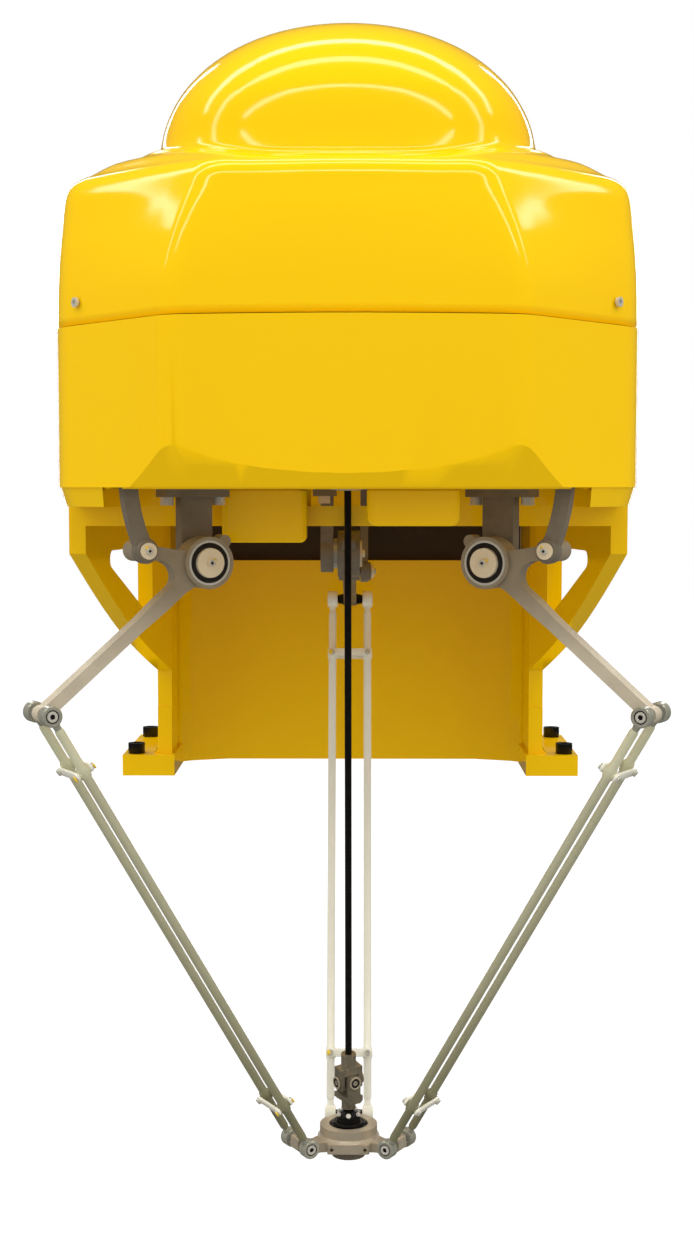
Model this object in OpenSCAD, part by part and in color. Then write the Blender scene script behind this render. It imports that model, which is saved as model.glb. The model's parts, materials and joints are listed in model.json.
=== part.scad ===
// Delta robot with three bell-crank arms, a tilting spline shaft and a curved stand.
// Origin: centre of the four foot bolts on the feet's underside. +Z up, -Y is the front.

/* [Parallel mechanism] */
// Distance from the robot's centre axis to each shoulder axis
base_r = 101; // [92:1:110]
// Length of an upper arm from shoulder axis to elbow axis
arm_len = 137; // [115:1:165]
// Length of a forearm rod from elbow axis to lower axis
rod_len = 383; // [340:1:430]
// Distance from the platform's centre to each lower axis
platform_r = 38.5; // [34:0.5:46]
// Half the distance between the two rods of a forearm
rod_half = 13.35; // [12:0.05:17]
// Drop of the two front arms below the horizontal, in degrees
front_drop = 39.5; // [33:0.5:45]
// Drop of the rear arm below the horizontal, in degrees
rear_drop = 16.9; // [12:0.1:22]

/* [Bell cranks] */
// Length of the bell-crank lever from shoulder axis to link pin
lever_len = 45; // [38:1:48]
// Rise of the front levers above the horizontal, in degrees
front_lever = 10.5; // [6:0.5:16]
// Rise of the rear lever above the horizontal, in degrees
rear_lever = -18.5; // [-24:0.5:-14]
// Height of a gearmotor axis above its shoulder axis
link_rise = 86; // [80:1:96]
// Outward offset of a gearmotor axis from its shoulder axis
link_out = 3; // [0:0.5:4]
// Outward bulge of the bowed drive link
link_bow = 9; // [6:0.5:9]
// Width of the bowed drive link
link_w = 10.5; // [8:0.5:12]
// Thickness of the bowed drive link
link_t = 5.6; // [4:0.2:6]

/* [Arms and rods] */
// Thickness of the arm plate
arm_t = 9.6; // [8:0.2:11]
// Height of the arm bar
arm_h = 9.2; // [8:0.2:12]
// Height of the arm bar next to the elbow
arm_tip_h = 7.8; // [7:0.2:9]
// Radius of the shoulder boss on the arm
boss_r = 16; // [15.6:0.1:18]
// Width of the shoulder boss along its axis
boss_w = 15.4; // [15:0.2:19]
// Radius of the fillet between arm and lever
web_fillet = 9; // [6:0.5:11]
// Outside radius of a forearm tube
rod_r = 2.9; // [2.3:0.1:3.4]
// Outside radius of a rod-end barrel
eye_r = 6.3; // [5.8:0.1:7]
// Width of a rod-end barrel
eye_w = 7.6; // [6.6:0.2:8.4]
// Distance of a cross link from the rod's end
link_pos = 33; // [28:1:60]

/* [Bearings and shafts] */
// Radius of a shoulder shaft
shaft_r = 7.5; // [6:0.5:8]
// Outside radius of a shoulder bearing
bearing_r = 14; // [13:0.5:14.5]
// Width of a shoulder bearing
bearing_w = 7; // [6:0.5:7.5]
// Radius of the drive link's pins
pin_r = 3; // [2.5:0.25:3.5]
// Running clearance between a shaft and its bore
run_gap = 0.05; // [0.02:0.01:0.1]
// Clearance between faces that slide past each other
face_gap = 0.35; // [0.3:0.05:0.6]

/* [Housing] */
// Height of the shoulder axes above the feet
shoulder_z = 176; // [160:1:200]
// Distance of the robot's centre axis in front of the foot pattern's centre
reach = 284; // [275:1:300]
// Width of the housing
housing_w = 358; // [346:1:400]
// Distance of the housing's front from the centre axis
housing_front = 151; // [148:1:165]
// Distance of the housing's back from the centre axis
housing_back = 226; // [215:1:250]
// Height of the deck's underside above the shoulder axes
deck_rise = 45; // [42:1:50]
// Height of the seam between the covers above the shoulder axes
seam_rise = 143.5; // [138:0.5:160]
// Radius of the dome on the upper cover
dome_r = 123; // [110:1:130]
// Height of the dome's top above the shoulder axes
dome_rise = 340; // [325:1:360]
// Wall thickness of the covers
cover_t = 3; // [2:0.5:4]
// Shadow gap at the seam between the covers
seam_gap = 0.8; // [0.4:0.1:1.5]

/* [Stand] */
// Half the distance between the outer faces of the feet
foot_half = 175.6; // [168:0.2:190]
// Width of a foot
foot_w = 40; // [34:1:48]
// Depth of a foot
foot_d = 118; // [104:1:130]
// Thickness of a foot
foot_t = 16; // [12:0.5:20]
// Spacing of the foot bolts front to back
bolt_dy = 95; // [80:1:98]
// Half the spacing of the foot bolts side to side
bolt_half = 166; // [164:0.5:170]
// Radius of a foot bolt's shank
bolt_r = 4; // [3:0.5:5]
// Length of a foot bolt's shank below the foot
bolt_out = 4; // [3:1:25]
// Wall thickness of the stand
stand_t = 10.8; // [9:0.2:13]
// Half the width of the stand's top frame
rim_half = 181; // [178:0.5:186]
// Thickness of the stand's rear web
web_t = 10; // [8:0.5:14]

/* [Wrist] */
// Radius of the spline shaft
spline_r = 2.3; // [2:0.1:2.8]
// Length of the spline shaft
spline_len = 565; // [530:5:585]
// Radius of the platform's disc
disc_r = 20; // [18.5:0.5:22]
// Thickness of the platform's disc
disc_t = 6.2; // [5.5:0.1:7]
// Radius of the tool flange
flange_r = 11.5; // [11:0.5:13]
// Radius of the tool flange's centre bore
flange_bore = 4; // [3:0.5:5]
// Pitch circle radius of the tool flange's threaded holes
flange_pcr = 8; // [7.5:0.5:8.5]

/* [Hidden] */
$fn = 48;

paint = [0.98, 0.78, 0.02];
cast_steel = [0.72, 0.66, 0.55];
bright_steel = [0.80, 0.80, 0.78];
nickel = [0.74, 0.75, 0.66];
black_oxide = [0.07, 0.07, 0.08];

// ---------- arms: azimuth, posture and hand ----------
LEFT = 0;
RIGHT = 1;
REAR = 2;
azimuth = [210, 330, 90];
hand = [1, -1, -1];
drop = [front_drop, front_drop, rear_drop];
lever_up = [front_lever, front_lever, rear_lever];

// Elbow and lower axis in an arm's own frame: x outward, y along the hinge axis, z up.
function elbow(k) = [base_r + arm_len * cos(drop[k]), 0, -arm_len * sin(drop[k])];
function lever_pin(k) = [base_r + lever_len * cos(lever_up[k]), 0, lever_len * sin(lever_up[k])];

// The platform's centre lies where the three spheres of radius rod_len meet. The front
// arms mirror each other, so it is the lower meeting point of two circles in the plane x = 0.
front_c = elbow(LEFT)[0] - platform_r;
circle_a = [-front_c * sin(30), elbow(LEFT)[2]];
radius_a = sqrt(rod_len * rod_len - pow(front_c * cos(30), 2));
circle_b = [elbow(REAR)[0] - platform_r, elbow(REAR)[2]];
gap_ab = norm(circle_b - circle_a);
foot_ab = (gap_ab * gap_ab + radius_a * radius_a - rod_len * rod_len) / (2 * gap_ab);
half_ab = sqrt(radius_a * radius_a - foot_ab * foot_ab);
dir_ab = (circle_b - circle_a) / gap_ab;
platform_yz = circle_a + foot_ab * dir_ab + half_ab * [dir_ab[1], -dir_ab[0]];
platform_y = platform_yz[0];
platform_z = platform_yz[1];

function lower_axis(k) = [
    platform_y * sin(azimuth[k]) + platform_r, hand[k] * platform_y * cos(azimuth[k]), platform_z];
function rod_vec(k) = lower_axis(k) - elbow(k);

// Positions along a hinge axis, counted from the arm's mid-plane towards the capped side.
boss_out = boss_w / 2;
eye_in = rod_half - eye_w / 2;
eye_out = rod_half + eye_w / 2;
ear_half = 5.6;
lever_half = 7.6;
link_in = lever_half + face_gap;
bracket_in = boss_out + 3;
bracket_w = 8.8;
link_vec = [link_out, 0, link_rise];

deck_t = 8;
deck_z = deck_rise;
rim_z = 34;
rim_drop = 29;
skirt_gap = 0.3;
skirt_w = 34;

module at_robot() translate([0, -reach, shoulder_z]) children();
module at_arm(k) at_robot() rotate([0, 0, azimuth[k]]) mirror([0, hand[k] < 0 ? 1 : 0, 0]) children();

// Extrudes a profile drawn in x and z from y0 to y1.
module slab(y0, y1) translate([0, y1, 0]) rotate([90, 0, 0]) linear_extrude(y1 - y0) children();
// Round bar along y at the point p, from y0 to y1.
module bar(p, r, y0, y1) translate([p[0], y1, p[2]]) rotate([90, 0, 0]) cylinder(h = y1 - y0, r = r);
// Ring along y.
module ring(p, ro, ri, y0, y1) difference() {
    bar(p, ro, y0, y1);
    bar(p, ri, y0 - 1, y1 + 1);
}
// Taper along y, radius ra at y0 and rb at y1.
module taper(p, ra, rb, y0, y1) translate([p[0], y0, p[2]]) rotate([-90, 0, 0])
    cylinder(h = y1 - y0, r1 = ra, r2 = rb);
// Turns +z along the vector v from the point p.
module aim(p, v) translate(p) rotate([0, acos(v[2] / norm(v)), atan2(v[1], v[0])]) children();
// Socket-head screw with its head standing on z = 0.
module screw(r, head_r, head_h, length) difference() {
    union() {
        cylinder(h = head_h, r = head_r);
        translate([0, 0, -length]) cylinder(h = length + 0.1, r = r);
    }
    translate([0, 0, head_h * 0.45]) cylinder(h = head_h, r = head_r * 0.52, $fn = 6);
}

// ---------- outlines ----------
// Points of a fillet of radius r at corner b between a and c.
function fillet(a, b, c, r, n) =
    let (u = (a - b) / norm(a - b), v = (c - b) / norm(c - b), half = acos(u * v) / 2,
        centre = b + (u + v) / norm(u + v) * r / sin(half),
        p = b + u * r / tan(half), q = b + v * r / tan(half),
        a0 = atan2(p[1] - centre[1], p[0] - centre[0]),
        a1 = atan2(q[1] - centre[1], q[0] - centre[0]),
        turn = a1 - a0 > 180 ? a1 - a0 - 360 : a1 - a0 < -180 ? a1 - a0 + 360 : a1 - a0)
    [for (i = [0:n]) centre + r * [cos(a0 + turn * i / n), sin(a0 + turn * i / n)]];
function rounded(corners, n) = let (m = len(corners)) [
    for (i = [0:m - 1]) each fillet(
        [corners[(i + m - 1) % m][0], corners[(i + m - 1) % m][1]],
        [corners[i][0], corners[i][1]],
        [corners[(i + 1) % m][0], corners[(i + 1) % m][1]], corners[i][2], n)];

// Plan of the housing with half width w, front at -f and back at b.
crease_x = 101;
crease_y = 13;
side_front = 103;
side_back = 76;
function plan_corners(w, f, b) = [
    [0, -f, 420], [crease_x * w / 179, crease_y - f, 26], [w, side_front - f, 46],
    [w, b - side_back, 46], [w - 69, b, 40], [69 - w, b, 40], [-w, b - side_back, 46],
    [-w, side_front - f, 46], [-crease_x * w / 179, crease_y - f, 26]];
function plan(w, f, b) = rounded(plan_corners(w, f, b), 5);
// Solid through a list of closed rings of equal point count, bottom ring first.
module loft(rings) {
    n = len(rings[0]);
    m = len(rings);
    sides = [for (j = [0:m - 2], i = [0:n - 1]) each [
        [j * n + i, (j + 1) * n + i, (j + 1) * n + (i + 1) % n],
        [j * n + i, (j + 1) * n + (i + 1) % n, j * n + (i + 1) % n]]];
    polyhedron([for (r = rings) each r], concat(sides,
        [[for (i = [0:n - 1]) i]], [[for (i = [n - 1:-1:0]) (m - 1) * n + i]]));
}

// ---------- stand ----------
foot_y0 = -foot_d / 2;
leg_y0 = foot_y0 + 10;
web_y0 = leg_y0 + 58;
leg_half = 149;
rim_y0 = 14 - reach;
rim_top = shoulder_z + rim_z;
rim_bottom = rim_top - rim_drop;
web_top = shoulder_z - 13;
web_half = leg_half - stand_t + 0.5;
web_bend = 14;
web_lift = 1;
bend_x = 100;
plate_t = 12;
plate_y0 = housing_back - reach - 6;
brace_z0 = rim_bottom - 2;
brace_z1 = shoulder_z - 95;
brace_sag = 8;
window_y0 = rim_y0 + 31;
window_y1 = leg_y0 - 55;
window_sill = shoulder_z - 52;
pad_out = 1.4;
pad_top = shoulder_z - 124;
cove_r = 5;

// Lower edge of the cantilever brace, a shallow curve from the rim to the leg.
brace_edge = [for (i = [0:12]) let (t = i / 12)
    [rim_y0 + t * (leg_y0 - rim_y0), brace_z0 + t * (brace_z1 - brace_z0) - brace_sag * sin(180 * t)]];
// Side wall drawn in y and z, seen from the left: rim, cantilever brace and leg.
module side_profile() difference() {
    polygon(concat([[rim_y0, rim_top]], brace_edge,
        [[leg_y0, foot_t], [foot_y0 + foot_d, foot_t], [foot_y0 + foot_d, rim_top]]));
    polygon(rounded([[window_y0, rim_bottom - 2, 6], [window_y1, rim_bottom - 2, 5],
        [window_y1, window_sill, 6]], 6));
}
// One side wall: its plan runs in from the wide rim in front to the legs behind.
module side_wall() intersection() {
    linear_extrude(rim_top) polygon([[-rim_half, rim_y0], [-leg_half, leg_y0],
        [-leg_half, foot_y0 + foot_d], [stand_t - leg_half, foot_y0 + foot_d],
        [stand_t - leg_half, leg_y0], [stand_t - rim_half, rim_y0]]);
    translate([-rim_half - 5, 0, 0]) rotate([90, 0, 90]) linear_extrude(rim_half) side_profile();
}
// Plan of the web between the legs, its middle set back by two bends.
module web_plan() polygon([[-web_half, web_y0], [-bend_x, web_y0 + web_bend], [bend_x, web_y0 + web_bend],
    [web_half, web_y0], [web_half, web_y0 + web_t], [bend_x, web_y0 + web_bend + web_t],
    [-bend_x, web_y0 + web_bend + web_t], [-web_half, web_y0 + web_t]]);
module stand() color(paint) difference() {
    union() {
        for (s = [0, 1]) mirror([s, 0, 0]) {
            side_wall();
            translate([-foot_half, foot_y0, 0]) cube([foot_w, foot_d, foot_t]);
            // Raised pad on the front of the leg and a cove on the foot beside it.
            translate([-leg_half, leg_y0 - pad_out, foot_t - 1])
                cube([stand_t, pad_out + 1, pad_top - foot_t + 1]);
            slab(leg_y0 + 1, foot_y0 + foot_d) difference() {
                translate([-leg_half - cove_r, foot_t - 1]) square([cove_r + 1, cove_r + 1]);
                translate([-leg_half - cove_r, foot_t + cove_r]) circle(cove_r);
            }
            translate([-leg_half + stand_t, web_y0, 0]) linear_extrude(web_top)
                polygon([[-0.5, web_t], [-0.5, -8], [2.3, -2.3], [10, 4], [10, web_t]]);
        }
        linear_extrude(web_top) web_plan();
        // Top plate behind the robot and the cross rail in front, which carry its deck.
        translate([-leg_half, plate_y0, rim_top - plate_t])
            cube([2 * leg_half, foot_y0 + foot_d - plate_y0, plate_t]);
        translate([-rim_half + 2, rim_y0, rim_top - 13]) cube([2 * rim_half - 4, 10, 13]);
    }
    // The web's lower edge stays just off the floor between the feet.
    translate([foot_w - foot_half, foot_y0 - 1, -1])
        cube([2 * (foot_half - foot_w), foot_d + 2, web_lift + 1]);
    for (x = [-bolt_half, bolt_half], y = [-bolt_dy / 2, bolt_dy / 2])
        translate([x, y, -1]) cylinder(h = foot_t + 2, r = bolt_r + 0.5);
}
// Dark plates that close the stand's back above the web, each on two screws.
panel_t = 2;
panel_y = web_y0 + web_bend + web_t + 0.2;
module back_panels() color([0.12, 0.09, 0.05]) for (s = [0, 1]) mirror([s, 0, 0]) {
    x1 = leg_half - stand_t - 0.3;
    z0 = web_top - 12;
    translate([0.4, panel_y, z0]) cube([x1 - 0.4, panel_t, rim_top - plate_t - 0.3 - z0]);
    for (x = [20, x1 - 20]) translate([x, panel_y, rim_top - plate_t - 14])
        rotate([90, 0, 0]) screw(1.5, 2.8, 1.6, panel_t);
}
// Socket-head bolts with a waisted shank in the foot and the thread below it.
bolt_waist = bolt_r - 0.35;
module foot_bolts() color(black_oxide)
    for (x = [-bolt_half, bolt_half], y = [-bolt_dy / 2, bolt_dy / 2]) translate([x, y, 0]) {
        translate([0, 0, foot_t]) screw(bolt_waist, bolt_r * 1.625, bolt_r * 2, foot_t + 0.5);
        translate([0, 0, -bolt_out]) cylinder(h = bolt_out, r = bolt_r);
    }

// ---------- deck and covers ----------
half_w = housing_w / 2;
// Plan of the housing drawn in by d all round.
module inset_plan(d) polygon(plan(half_w - d, housing_front - d, housing_back - d));
// Cone whose wall is the slanted facet along the lower front edge, drawn in by d.
facet_z = 60.5;
facet_r = 260;
facet_slope = 0.55;
module facet_cone(d, z0, z1) translate([0, facet_r - housing_front, z0])
    cylinder(h = z1 - z0, r1 = facet_r - d + facet_slope * (z0 - facet_z),
        r2 = facet_r - d + facet_slope * (z1 - facet_z), $fn = 240);
border_in = 4;
slot_r = base_r + lever_len;
module deck_slots() for (k = [LEFT, RIGHT, REAR]) at_arm(k)
    translate([slot_r - 22, link_in - 4, 0]) cube([42, link_t + 8, 120]);
module deck() color(paint) difference() {
    at_robot() union() {
        intersection() {
            translate([0, 0, deck_z]) linear_extrude(deck_t) inset_plan(cover_t + skirt_gap);
            facet_cone(cover_t + skirt_gap + 0.5, deck_z - 6, deck_z + 40);
        }
        // Skirt that carries the deck on the stand's frame, open at the front.
        difference() {
            intersection() {
                translate([0, 0, rim_z]) linear_extrude(deck_z - rim_z + 1)
                    inset_plan(cover_t + border_in + skirt_gap);
                facet_cone(cover_t + skirt_gap + 0.5, rim_z - 1, deck_z + 2);
            }
            translate([0, 0, rim_z - 1]) linear_extrude(deck_z - rim_z + 1)
                polygon(rounded([[skirt_w - half_w, -housing_front - 40, 4],
                    [half_w - skirt_w, -housing_front - 40, 4], [half_w - skirt_w, 14, 22],
                    [skirt_w - half_w, 14, 22]], 6));
            translate([0, 0, rim_z - 1]) linear_extrude(deck_z - rim_z + 1)
                polygon(rounded([[skirt_w - half_w, 24, 12], [half_w - skirt_w, 24, 12],
                    [half_w - skirt_w, housing_back - 30, 30],
                    [skirt_w - half_w, housing_back - 30, 30]], 6));
        }
    }
    deck_slots();
    at_robot() translate([0, 0, deck_z - 20]) cylinder(h = 60, r = 34);
    at_robot() for (a = [70, 110, 250, 290]) rotate([0, 0, a]) translate([46, 0, deck_z - 1])
        cylinder(h = deck_t + 2, r = 1.6);
}

lower_z0 = deck_rise + 1;
border_z0 = rim_z + skirt_gap;
border_z1 = lower_z0 + 3;
border_cut = 20;
connector_x = 24;
connector_z = 96;
connector_r = 11.9;
module lower_cover() color(paint) at_robot() difference() {
    intersection() {
        union() {
            translate([0, 0, lower_z0]) linear_extrude(seam_rise - seam_gap - lower_z0) inset_plan(0);
            // Lower border of the two sides and the back.
            difference() {
                loft([for (i = [0, 1]) let (d = border_in * (1 - i))
                    [for (p = plan(half_w - d, housing_front - d, housing_back - d))
                        [p[0], p[1], i == 0 ? border_z0 : border_z1]]]);
                translate([skirt_w - half_w, -housing_front - 1, 0])
                    cube([2 * (half_w - skirt_w), housing_front, lower_z0]);
            }
        }
        facet_cone(0, border_z0 - 1, seam_rise);
    }
    intersection() {
        translate([0, 0, border_z0 - 1]) linear_extrude(border_cut) inset_plan(cover_t + border_in);
        facet_cone(cover_t + 0.5, border_z0 - 2, border_z0 + border_cut);
    }
    intersection() {
        translate([0, 0, deck_z - 0.5]) linear_extrude(seam_rise) inset_plan(cover_t);
        facet_cone(cover_t + 0.5, deck_z - 1, seam_rise + 1);
    }
    for (x = [-connector_x, connector_x]) translate([x, housing_back - cover_t - 1, connector_z])
        rotate([-90, 0, 0]) cylinder(h = cover_t + 2, r = connector_r + 0.1);
}

// Upper cover: rings that turn from the housing's plan into the round dome. The front and
// the back of a ring lie lower than its sides.
dome_y = (housing_back - housing_front) / 2;
// Each row: side, front and back inset, height at the sides and at the front above the seam,
// share of the round plan, crease position, share of the wall taken off the height.
shoulder_rows = [[0, 0, 0, 0, 0, 0, 101, 0], [0.1, 1.2, 0.6, 22, 22, 0, 99.5, 0],
    [1, 3.2, 1.4, 44, 44, 0, 94, 0.1], [2.4, 5.9, 2.8, 61, 61, 0, 88, 0.3],
    [4, 8.4, 4.6, 75.5, 71, 0, 82, 0.5], [6, 10.3, 6.6, 82, 77, 0, 79, 0.8],
    [9.5, 13, 10, 86, 82, 0.02, 77, 1], [15, 17, 16, 90, 86, 0.05, 75.5, 1],
    [26, 25, 28, 98, 88.3, 0.15, 74, 1], [38, 37, 42, 106.5, 88.3, 0.45, 72, 1],
    [49, 50, 58, 114.5, 86.5, 0.88, 70, 1]];
corner_sizes = [54, 10, 17, 17, 18, 18, 17, 17, 10];
run_parts = [2, 3, 4, 2, 5, 2, 4, 3, 2];
foot_side = 118;
foot_front = 85;
dome_steps = 9;
// Closed outline with three points at every corner and the long runs divided.
function ring_plan(w, f, b, crease) = let (
    c = [[0, -f], [crease, crease_y - f], [w, side_front - f], [w, b - side_back], [w - 69, b],
        [69 - w, b], [-w, b - side_back], [-w, side_front - f], [-crease, crease_y - f]],
    m = len(c),
    start = [for (i = [0:m - 1]) let (v = c[(i + m - 1) % m] - c[i])
        c[i] + v / norm(v) * corner_sizes[i]],
    end = [for (i = [0:m - 1]) let (v = c[(i + 1) % m] - c[i]) c[i] + v / norm(v) * corner_sizes[i]])
    [for (i = [0:m - 1]) each concat([start[i], (start[i] + end[i]) / 4 + c[i] / 2],
        [for (j = [0:run_parts[i] - 1]) end[i] + (start[(i + 1) % m] - end[i]) * j / run_parts[i]])];
function around(p, r) = [0, dome_y] + (p - [0, dome_y]) * r / norm(p - [0, dome_y]);
// Share of the front's height, from 0 beside the dome to 1 at the front and the back.
lean_round = 0.15;
function lean_share(y) = let (u = min(abs(y - dome_y) / (dome_y + housing_front), 1))
    (sqrt(u * u + lean_round * lean_round) - lean_round)
        / (sqrt(1 + lean_round * lean_round) - lean_round);
function cover_rings(in) = concat(
    [for (row = shoulder_rows)
        [for (p = ring_plan(half_w - row[0] - in, housing_front - row[1] - in,
                housing_back - row[2] - in, row[6] - in / 2))
            let (q = (1 - row[5]) * p + row[5] * around(p, dome_r + 3 - in))
            [q[0], q[1], seam_rise + row[3] + (row[4] - row[3]) * lean_share(q[1]) - in * row[7]]]],
    [for (i = [0:dome_steps]) let (a = 87 * i / dome_steps, r = (dome_r - in) * cos(a),
            z = foot_side + (dome_rise - seam_rise - foot_side) * sin(a),
            sink = (foot_side - foot_front) * max(0, 1 - i / 1.6))
        [for (p = ring_plan(half_w, housing_front, housing_back, 100)) let (q = around(p, r))
            [q[0], q[1], seam_rise + z - sink * lean_share(q[1]) - in]]]);
module upper_cover() color(paint) at_robot() difference() {
    loft(cover_rings(0));
    translate([0, 0, -0.01]) loft(cover_rings(cover_t));
    corner_places() {
        translate([0, 0, -10]) cylinder(h = 20, r = screw_r + 0.02);
        cylinder(h = 20, r = screw_head_r + 0.1);
    }
}
// Screws in the four corner panels of the upper cover, just above the seam.
screw_z = seam_rise + 13;
screw_r = 1.5;
screw_head_r = 3;
module corner_place(a, b, share) {
    n = [b[1] - a[1], a[0] - b[0]] / norm(b - a);
    p = a + (b - a) * share - 1.5 * n;
    aim([p[0], p[1], screw_z], [n[0], n[1], 0]) children();
}
module corner_places() for (s = [0, 1]) mirror([s, 0, 0]) {
    corner_place([crease_x, crease_y - housing_front], [half_w, side_front - housing_front], 0.8)
        children();
    corner_place([half_w, housing_back - side_back], [half_w - 69, housing_back], 0.5) children();
}
module cover_screws() color(bright_steel) at_robot() corner_places()
    screw(screw_r, screw_head_r, 1.8, 8);
panel_w = 96;
panel_h = 52;
module connector_panel() color(cast_steel) at_robot() translate([0, housing_back, connector_z]) {
    difference() {
        translate([-panel_w / 2, 0.05, -panel_h / 2]) cube([panel_w, 3, panel_h]);
        for (x = [-connector_x, connector_x]) translate([x, -1, 0]) rotate([-90, 0, 0])
            cylinder(h = 5, r = connector_r + 0.1);
    }
    for (x = [-connector_x, connector_x]) translate([x, -cover_t - 1, 0]) rotate([-90, 0, 0])
        difference() {
            cylinder(h = 16, r = connector_r);
            translate([0, 0, 8]) cylinder(h = 12, r = connector_r - 2.5);
        }
}

// Boxes that hang under the deck round the wrist drive's and the brake's wiring.
module underside_box(x0, x1, y0, y1, depth, r) at_robot()
    translate([0, 0, deck_z - depth]) intersection() {
        linear_extrude(depth - 0.2) polygon(rounded([[x0, y0, r], [x1, y0, r], [x1, y1, r], [x0, y1, r]], 6));
        translate([0, y1 + 1, 0]) rotate([90, 0, 0]) linear_extrude(y1 - y0 + 2)
            polygon(concat(fillet([x0, depth], [x0, 0], [x1, 0], r, 6),
                fillet([x0, 0], [x1, 0], [x1, depth], r, 6), [[x1, depth], [x0, depth]]));
    }
module left_underside_cover() color(paint) underside_box(-80, -26, -12, 13, deck_rise - 11, 4);
module right_underside_cover() color(paint) underside_box(12, 68, -84, -38, deck_rise - 23, 6);

// ---------- shoulders ----------
flange_len = 43;
flange_t = 5;
flange_bolt = 17.6;
module bracket_flange() {
    translate([base_r - flange_len / 2, -bracket_in - bracket_w - 5, deck_z - flange_t])
        cube([flange_len, bracket_w + 7, flange_t]);
}
module bracket(k) difference() {
    union() {
        bracket_flange();
        translate([base_r - 10.5, -bracket_in - bracket_w, 0]) cube([21, bracket_w, deck_z - 1]);
        bar([base_r, 0, 0], 13, -bracket_in - bracket_w, -bracket_in);
    }
    bar([base_r, 0, 0], shaft_r + 0.02, -bracket_in - bracket_w - 1, -bracket_in + 1);
    for (s = [-1, 1]) translate([base_r + s * flange_bolt, -bracket_in - 6, deck_z - flange_t - 1])
        cylinder(h = flange_t + 2, r = 2.7);
}
module shoulder_brackets() color(cast_steel) for (k = [LEFT, RIGHT, REAR]) at_arm(k) bracket(k);
module bracket_bolts() color(bright_steel) for (k = [LEFT, RIGHT, REAR]) at_arm(k)
    for (s = [-1, 1]) translate([base_r + s * flange_bolt, -bracket_in - 6, deck_z - flange_t])
        rotate([180, 0, 0]) screw(2.5, 4.2, 5, flange_t);
module shoulder_shafts() color(bright_steel) for (k = [LEFT, RIGHT, REAR]) at_arm(k) {
    bar([base_r, 0, 0], shaft_r, -bracket_in - bracket_w, boss_out - 0.2);
    ring([base_r, 0, 0], 10.4, shaft_r - 1, -bracket_in, -boss_out - face_gap);
}
cap_r = 9;
module shaft_caps() color(cast_steel) for (k = [LEFT, RIGHT, REAR]) at_arm(k) {
    bar([base_r, 0, 0], cap_r, boss_out - 0.2, boss_out + 1.6);
    translate([base_r, boss_out + 1.6, 0]) rotate([-90, 0, 0]) screw(1.5, 2.6, 1.8, 1);
}

// ---------- upper arms ----------
seat_depth = 0.5;
mid = 42;
tip_r = 5;
function polar(a, r) = r * [cos(a), sin(a)];
module arm_profile(k) {
    a = -drop[k];
    b = lever_up[k];
    half_angle = (b - a) / 2;
    fillet_d = (arm_h / 2 + web_fillet) / sin(max(half_angle, 10));
    reach_t = fillet_d * cos(half_angle);
    rotate(a) polygon([[0, -arm_h / 2 - 4], [mid - 20, -arm_h / 2], [mid, -arm_h / 2],
        [mid + 14, -arm_tip_h / 2], [arm_len, -arm_tip_h / 2], [arm_len, arm_tip_h / 2],
        [mid + 14, arm_tip_h / 2], [mid, arm_h / 2], [0, arm_h / 2]]);
    rotate(b) polygon([[0, -arm_h / 2], [lever_len, -arm_h / 2 + 0.6], [lever_len, arm_h / 2 - 0.6],
        [14, arm_h / 2], [6, arm_h / 2 + 4], [0, arm_h / 2 + 4]]);
    if (half_angle > 12) difference() {
        polygon([[0, 0], polar(a, reach_t) + polar(a + 90, arm_h / 2 - 0.1),
            polar(a + half_angle, fillet_d), polar(b, reach_t) + polar(b - 90, arm_h / 2 - 0.1)]);
        translate(polar(a + half_angle, fillet_d)) circle(web_fillet);
    }
}
lug_angle = 171.5;
module arm(k) color(cast_steel) at_arm(k) difference() {
    union() {
        translate([base_r, 0, 0]) slab(-arm_t / 2, arm_t / 2) arm_profile(k);
        bar([base_r, 0, 0], boss_r, -boss_out, boss_out);
        bar(lever_pin(k), 6.6, -lever_half, lever_half);
        bar(elbow(k), tip_r, -arm_t / 2, arm_t / 2);
        translate([base_r, 0, 0]) rotate([0, drop[k] - lug_angle, 0]) {
            bar([boss_r + 1.5, 0, 0], 4, -boss_out + 3, boss_out - 3);
            translate([boss_r - 3, -boss_out + 3, -4]) cube([4.5, 2 * boss_out - 6, 8]);
        }
    }
    bar([base_r, 0, 0], shaft_r + 2.5, -boss_out - 1, boss_out + 1);
    seat = boss_out - bearing_w - seat_depth;
    bar([base_r, 0, 0], bearing_r + 0.02, seat, boss_out + 1);
    bar([base_r, 0, 0], bearing_r + 0.02, -boss_out - 1, -seat);
    bar(lever_pin(k), pin_r + 0.02, -lever_half - 1, lever_half + 1);
    bar(elbow(k), pin_r - 0.5 + 0.02, -arm_t, arm_t);
}
module shoulder_bearings(k) color(black_oxide) at_arm(k) {
    ring([base_r, 0, 0], bearing_r, shaft_r + run_gap, boss_out - seat_depth - bearing_w + 0.05,
        boss_out - seat_depth);
    ring([base_r, 0, 0], bearing_r, shaft_r + run_gap, -boss_out + seat_depth,
        -boss_out + seat_depth + bearing_w - 0.05);
}
// Axle through the elbow with a sealed cone and a socket screw head on each side.
module elbow_pin(k) color(black_oxide) at_arm(k) {
    bar(elbow(k), pin_r - 0.5, -eye_out + 0.6, eye_out - 0.6);
    for (s = [0, 1]) mirror([0, s, 0])
        difference() {
            taper(elbow(k), 4.2, 3.3, arm_t / 2, eye_in - face_gap);
            bar(elbow(k), pin_r - 0.6, 0, eye_out);
        }
}

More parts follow.
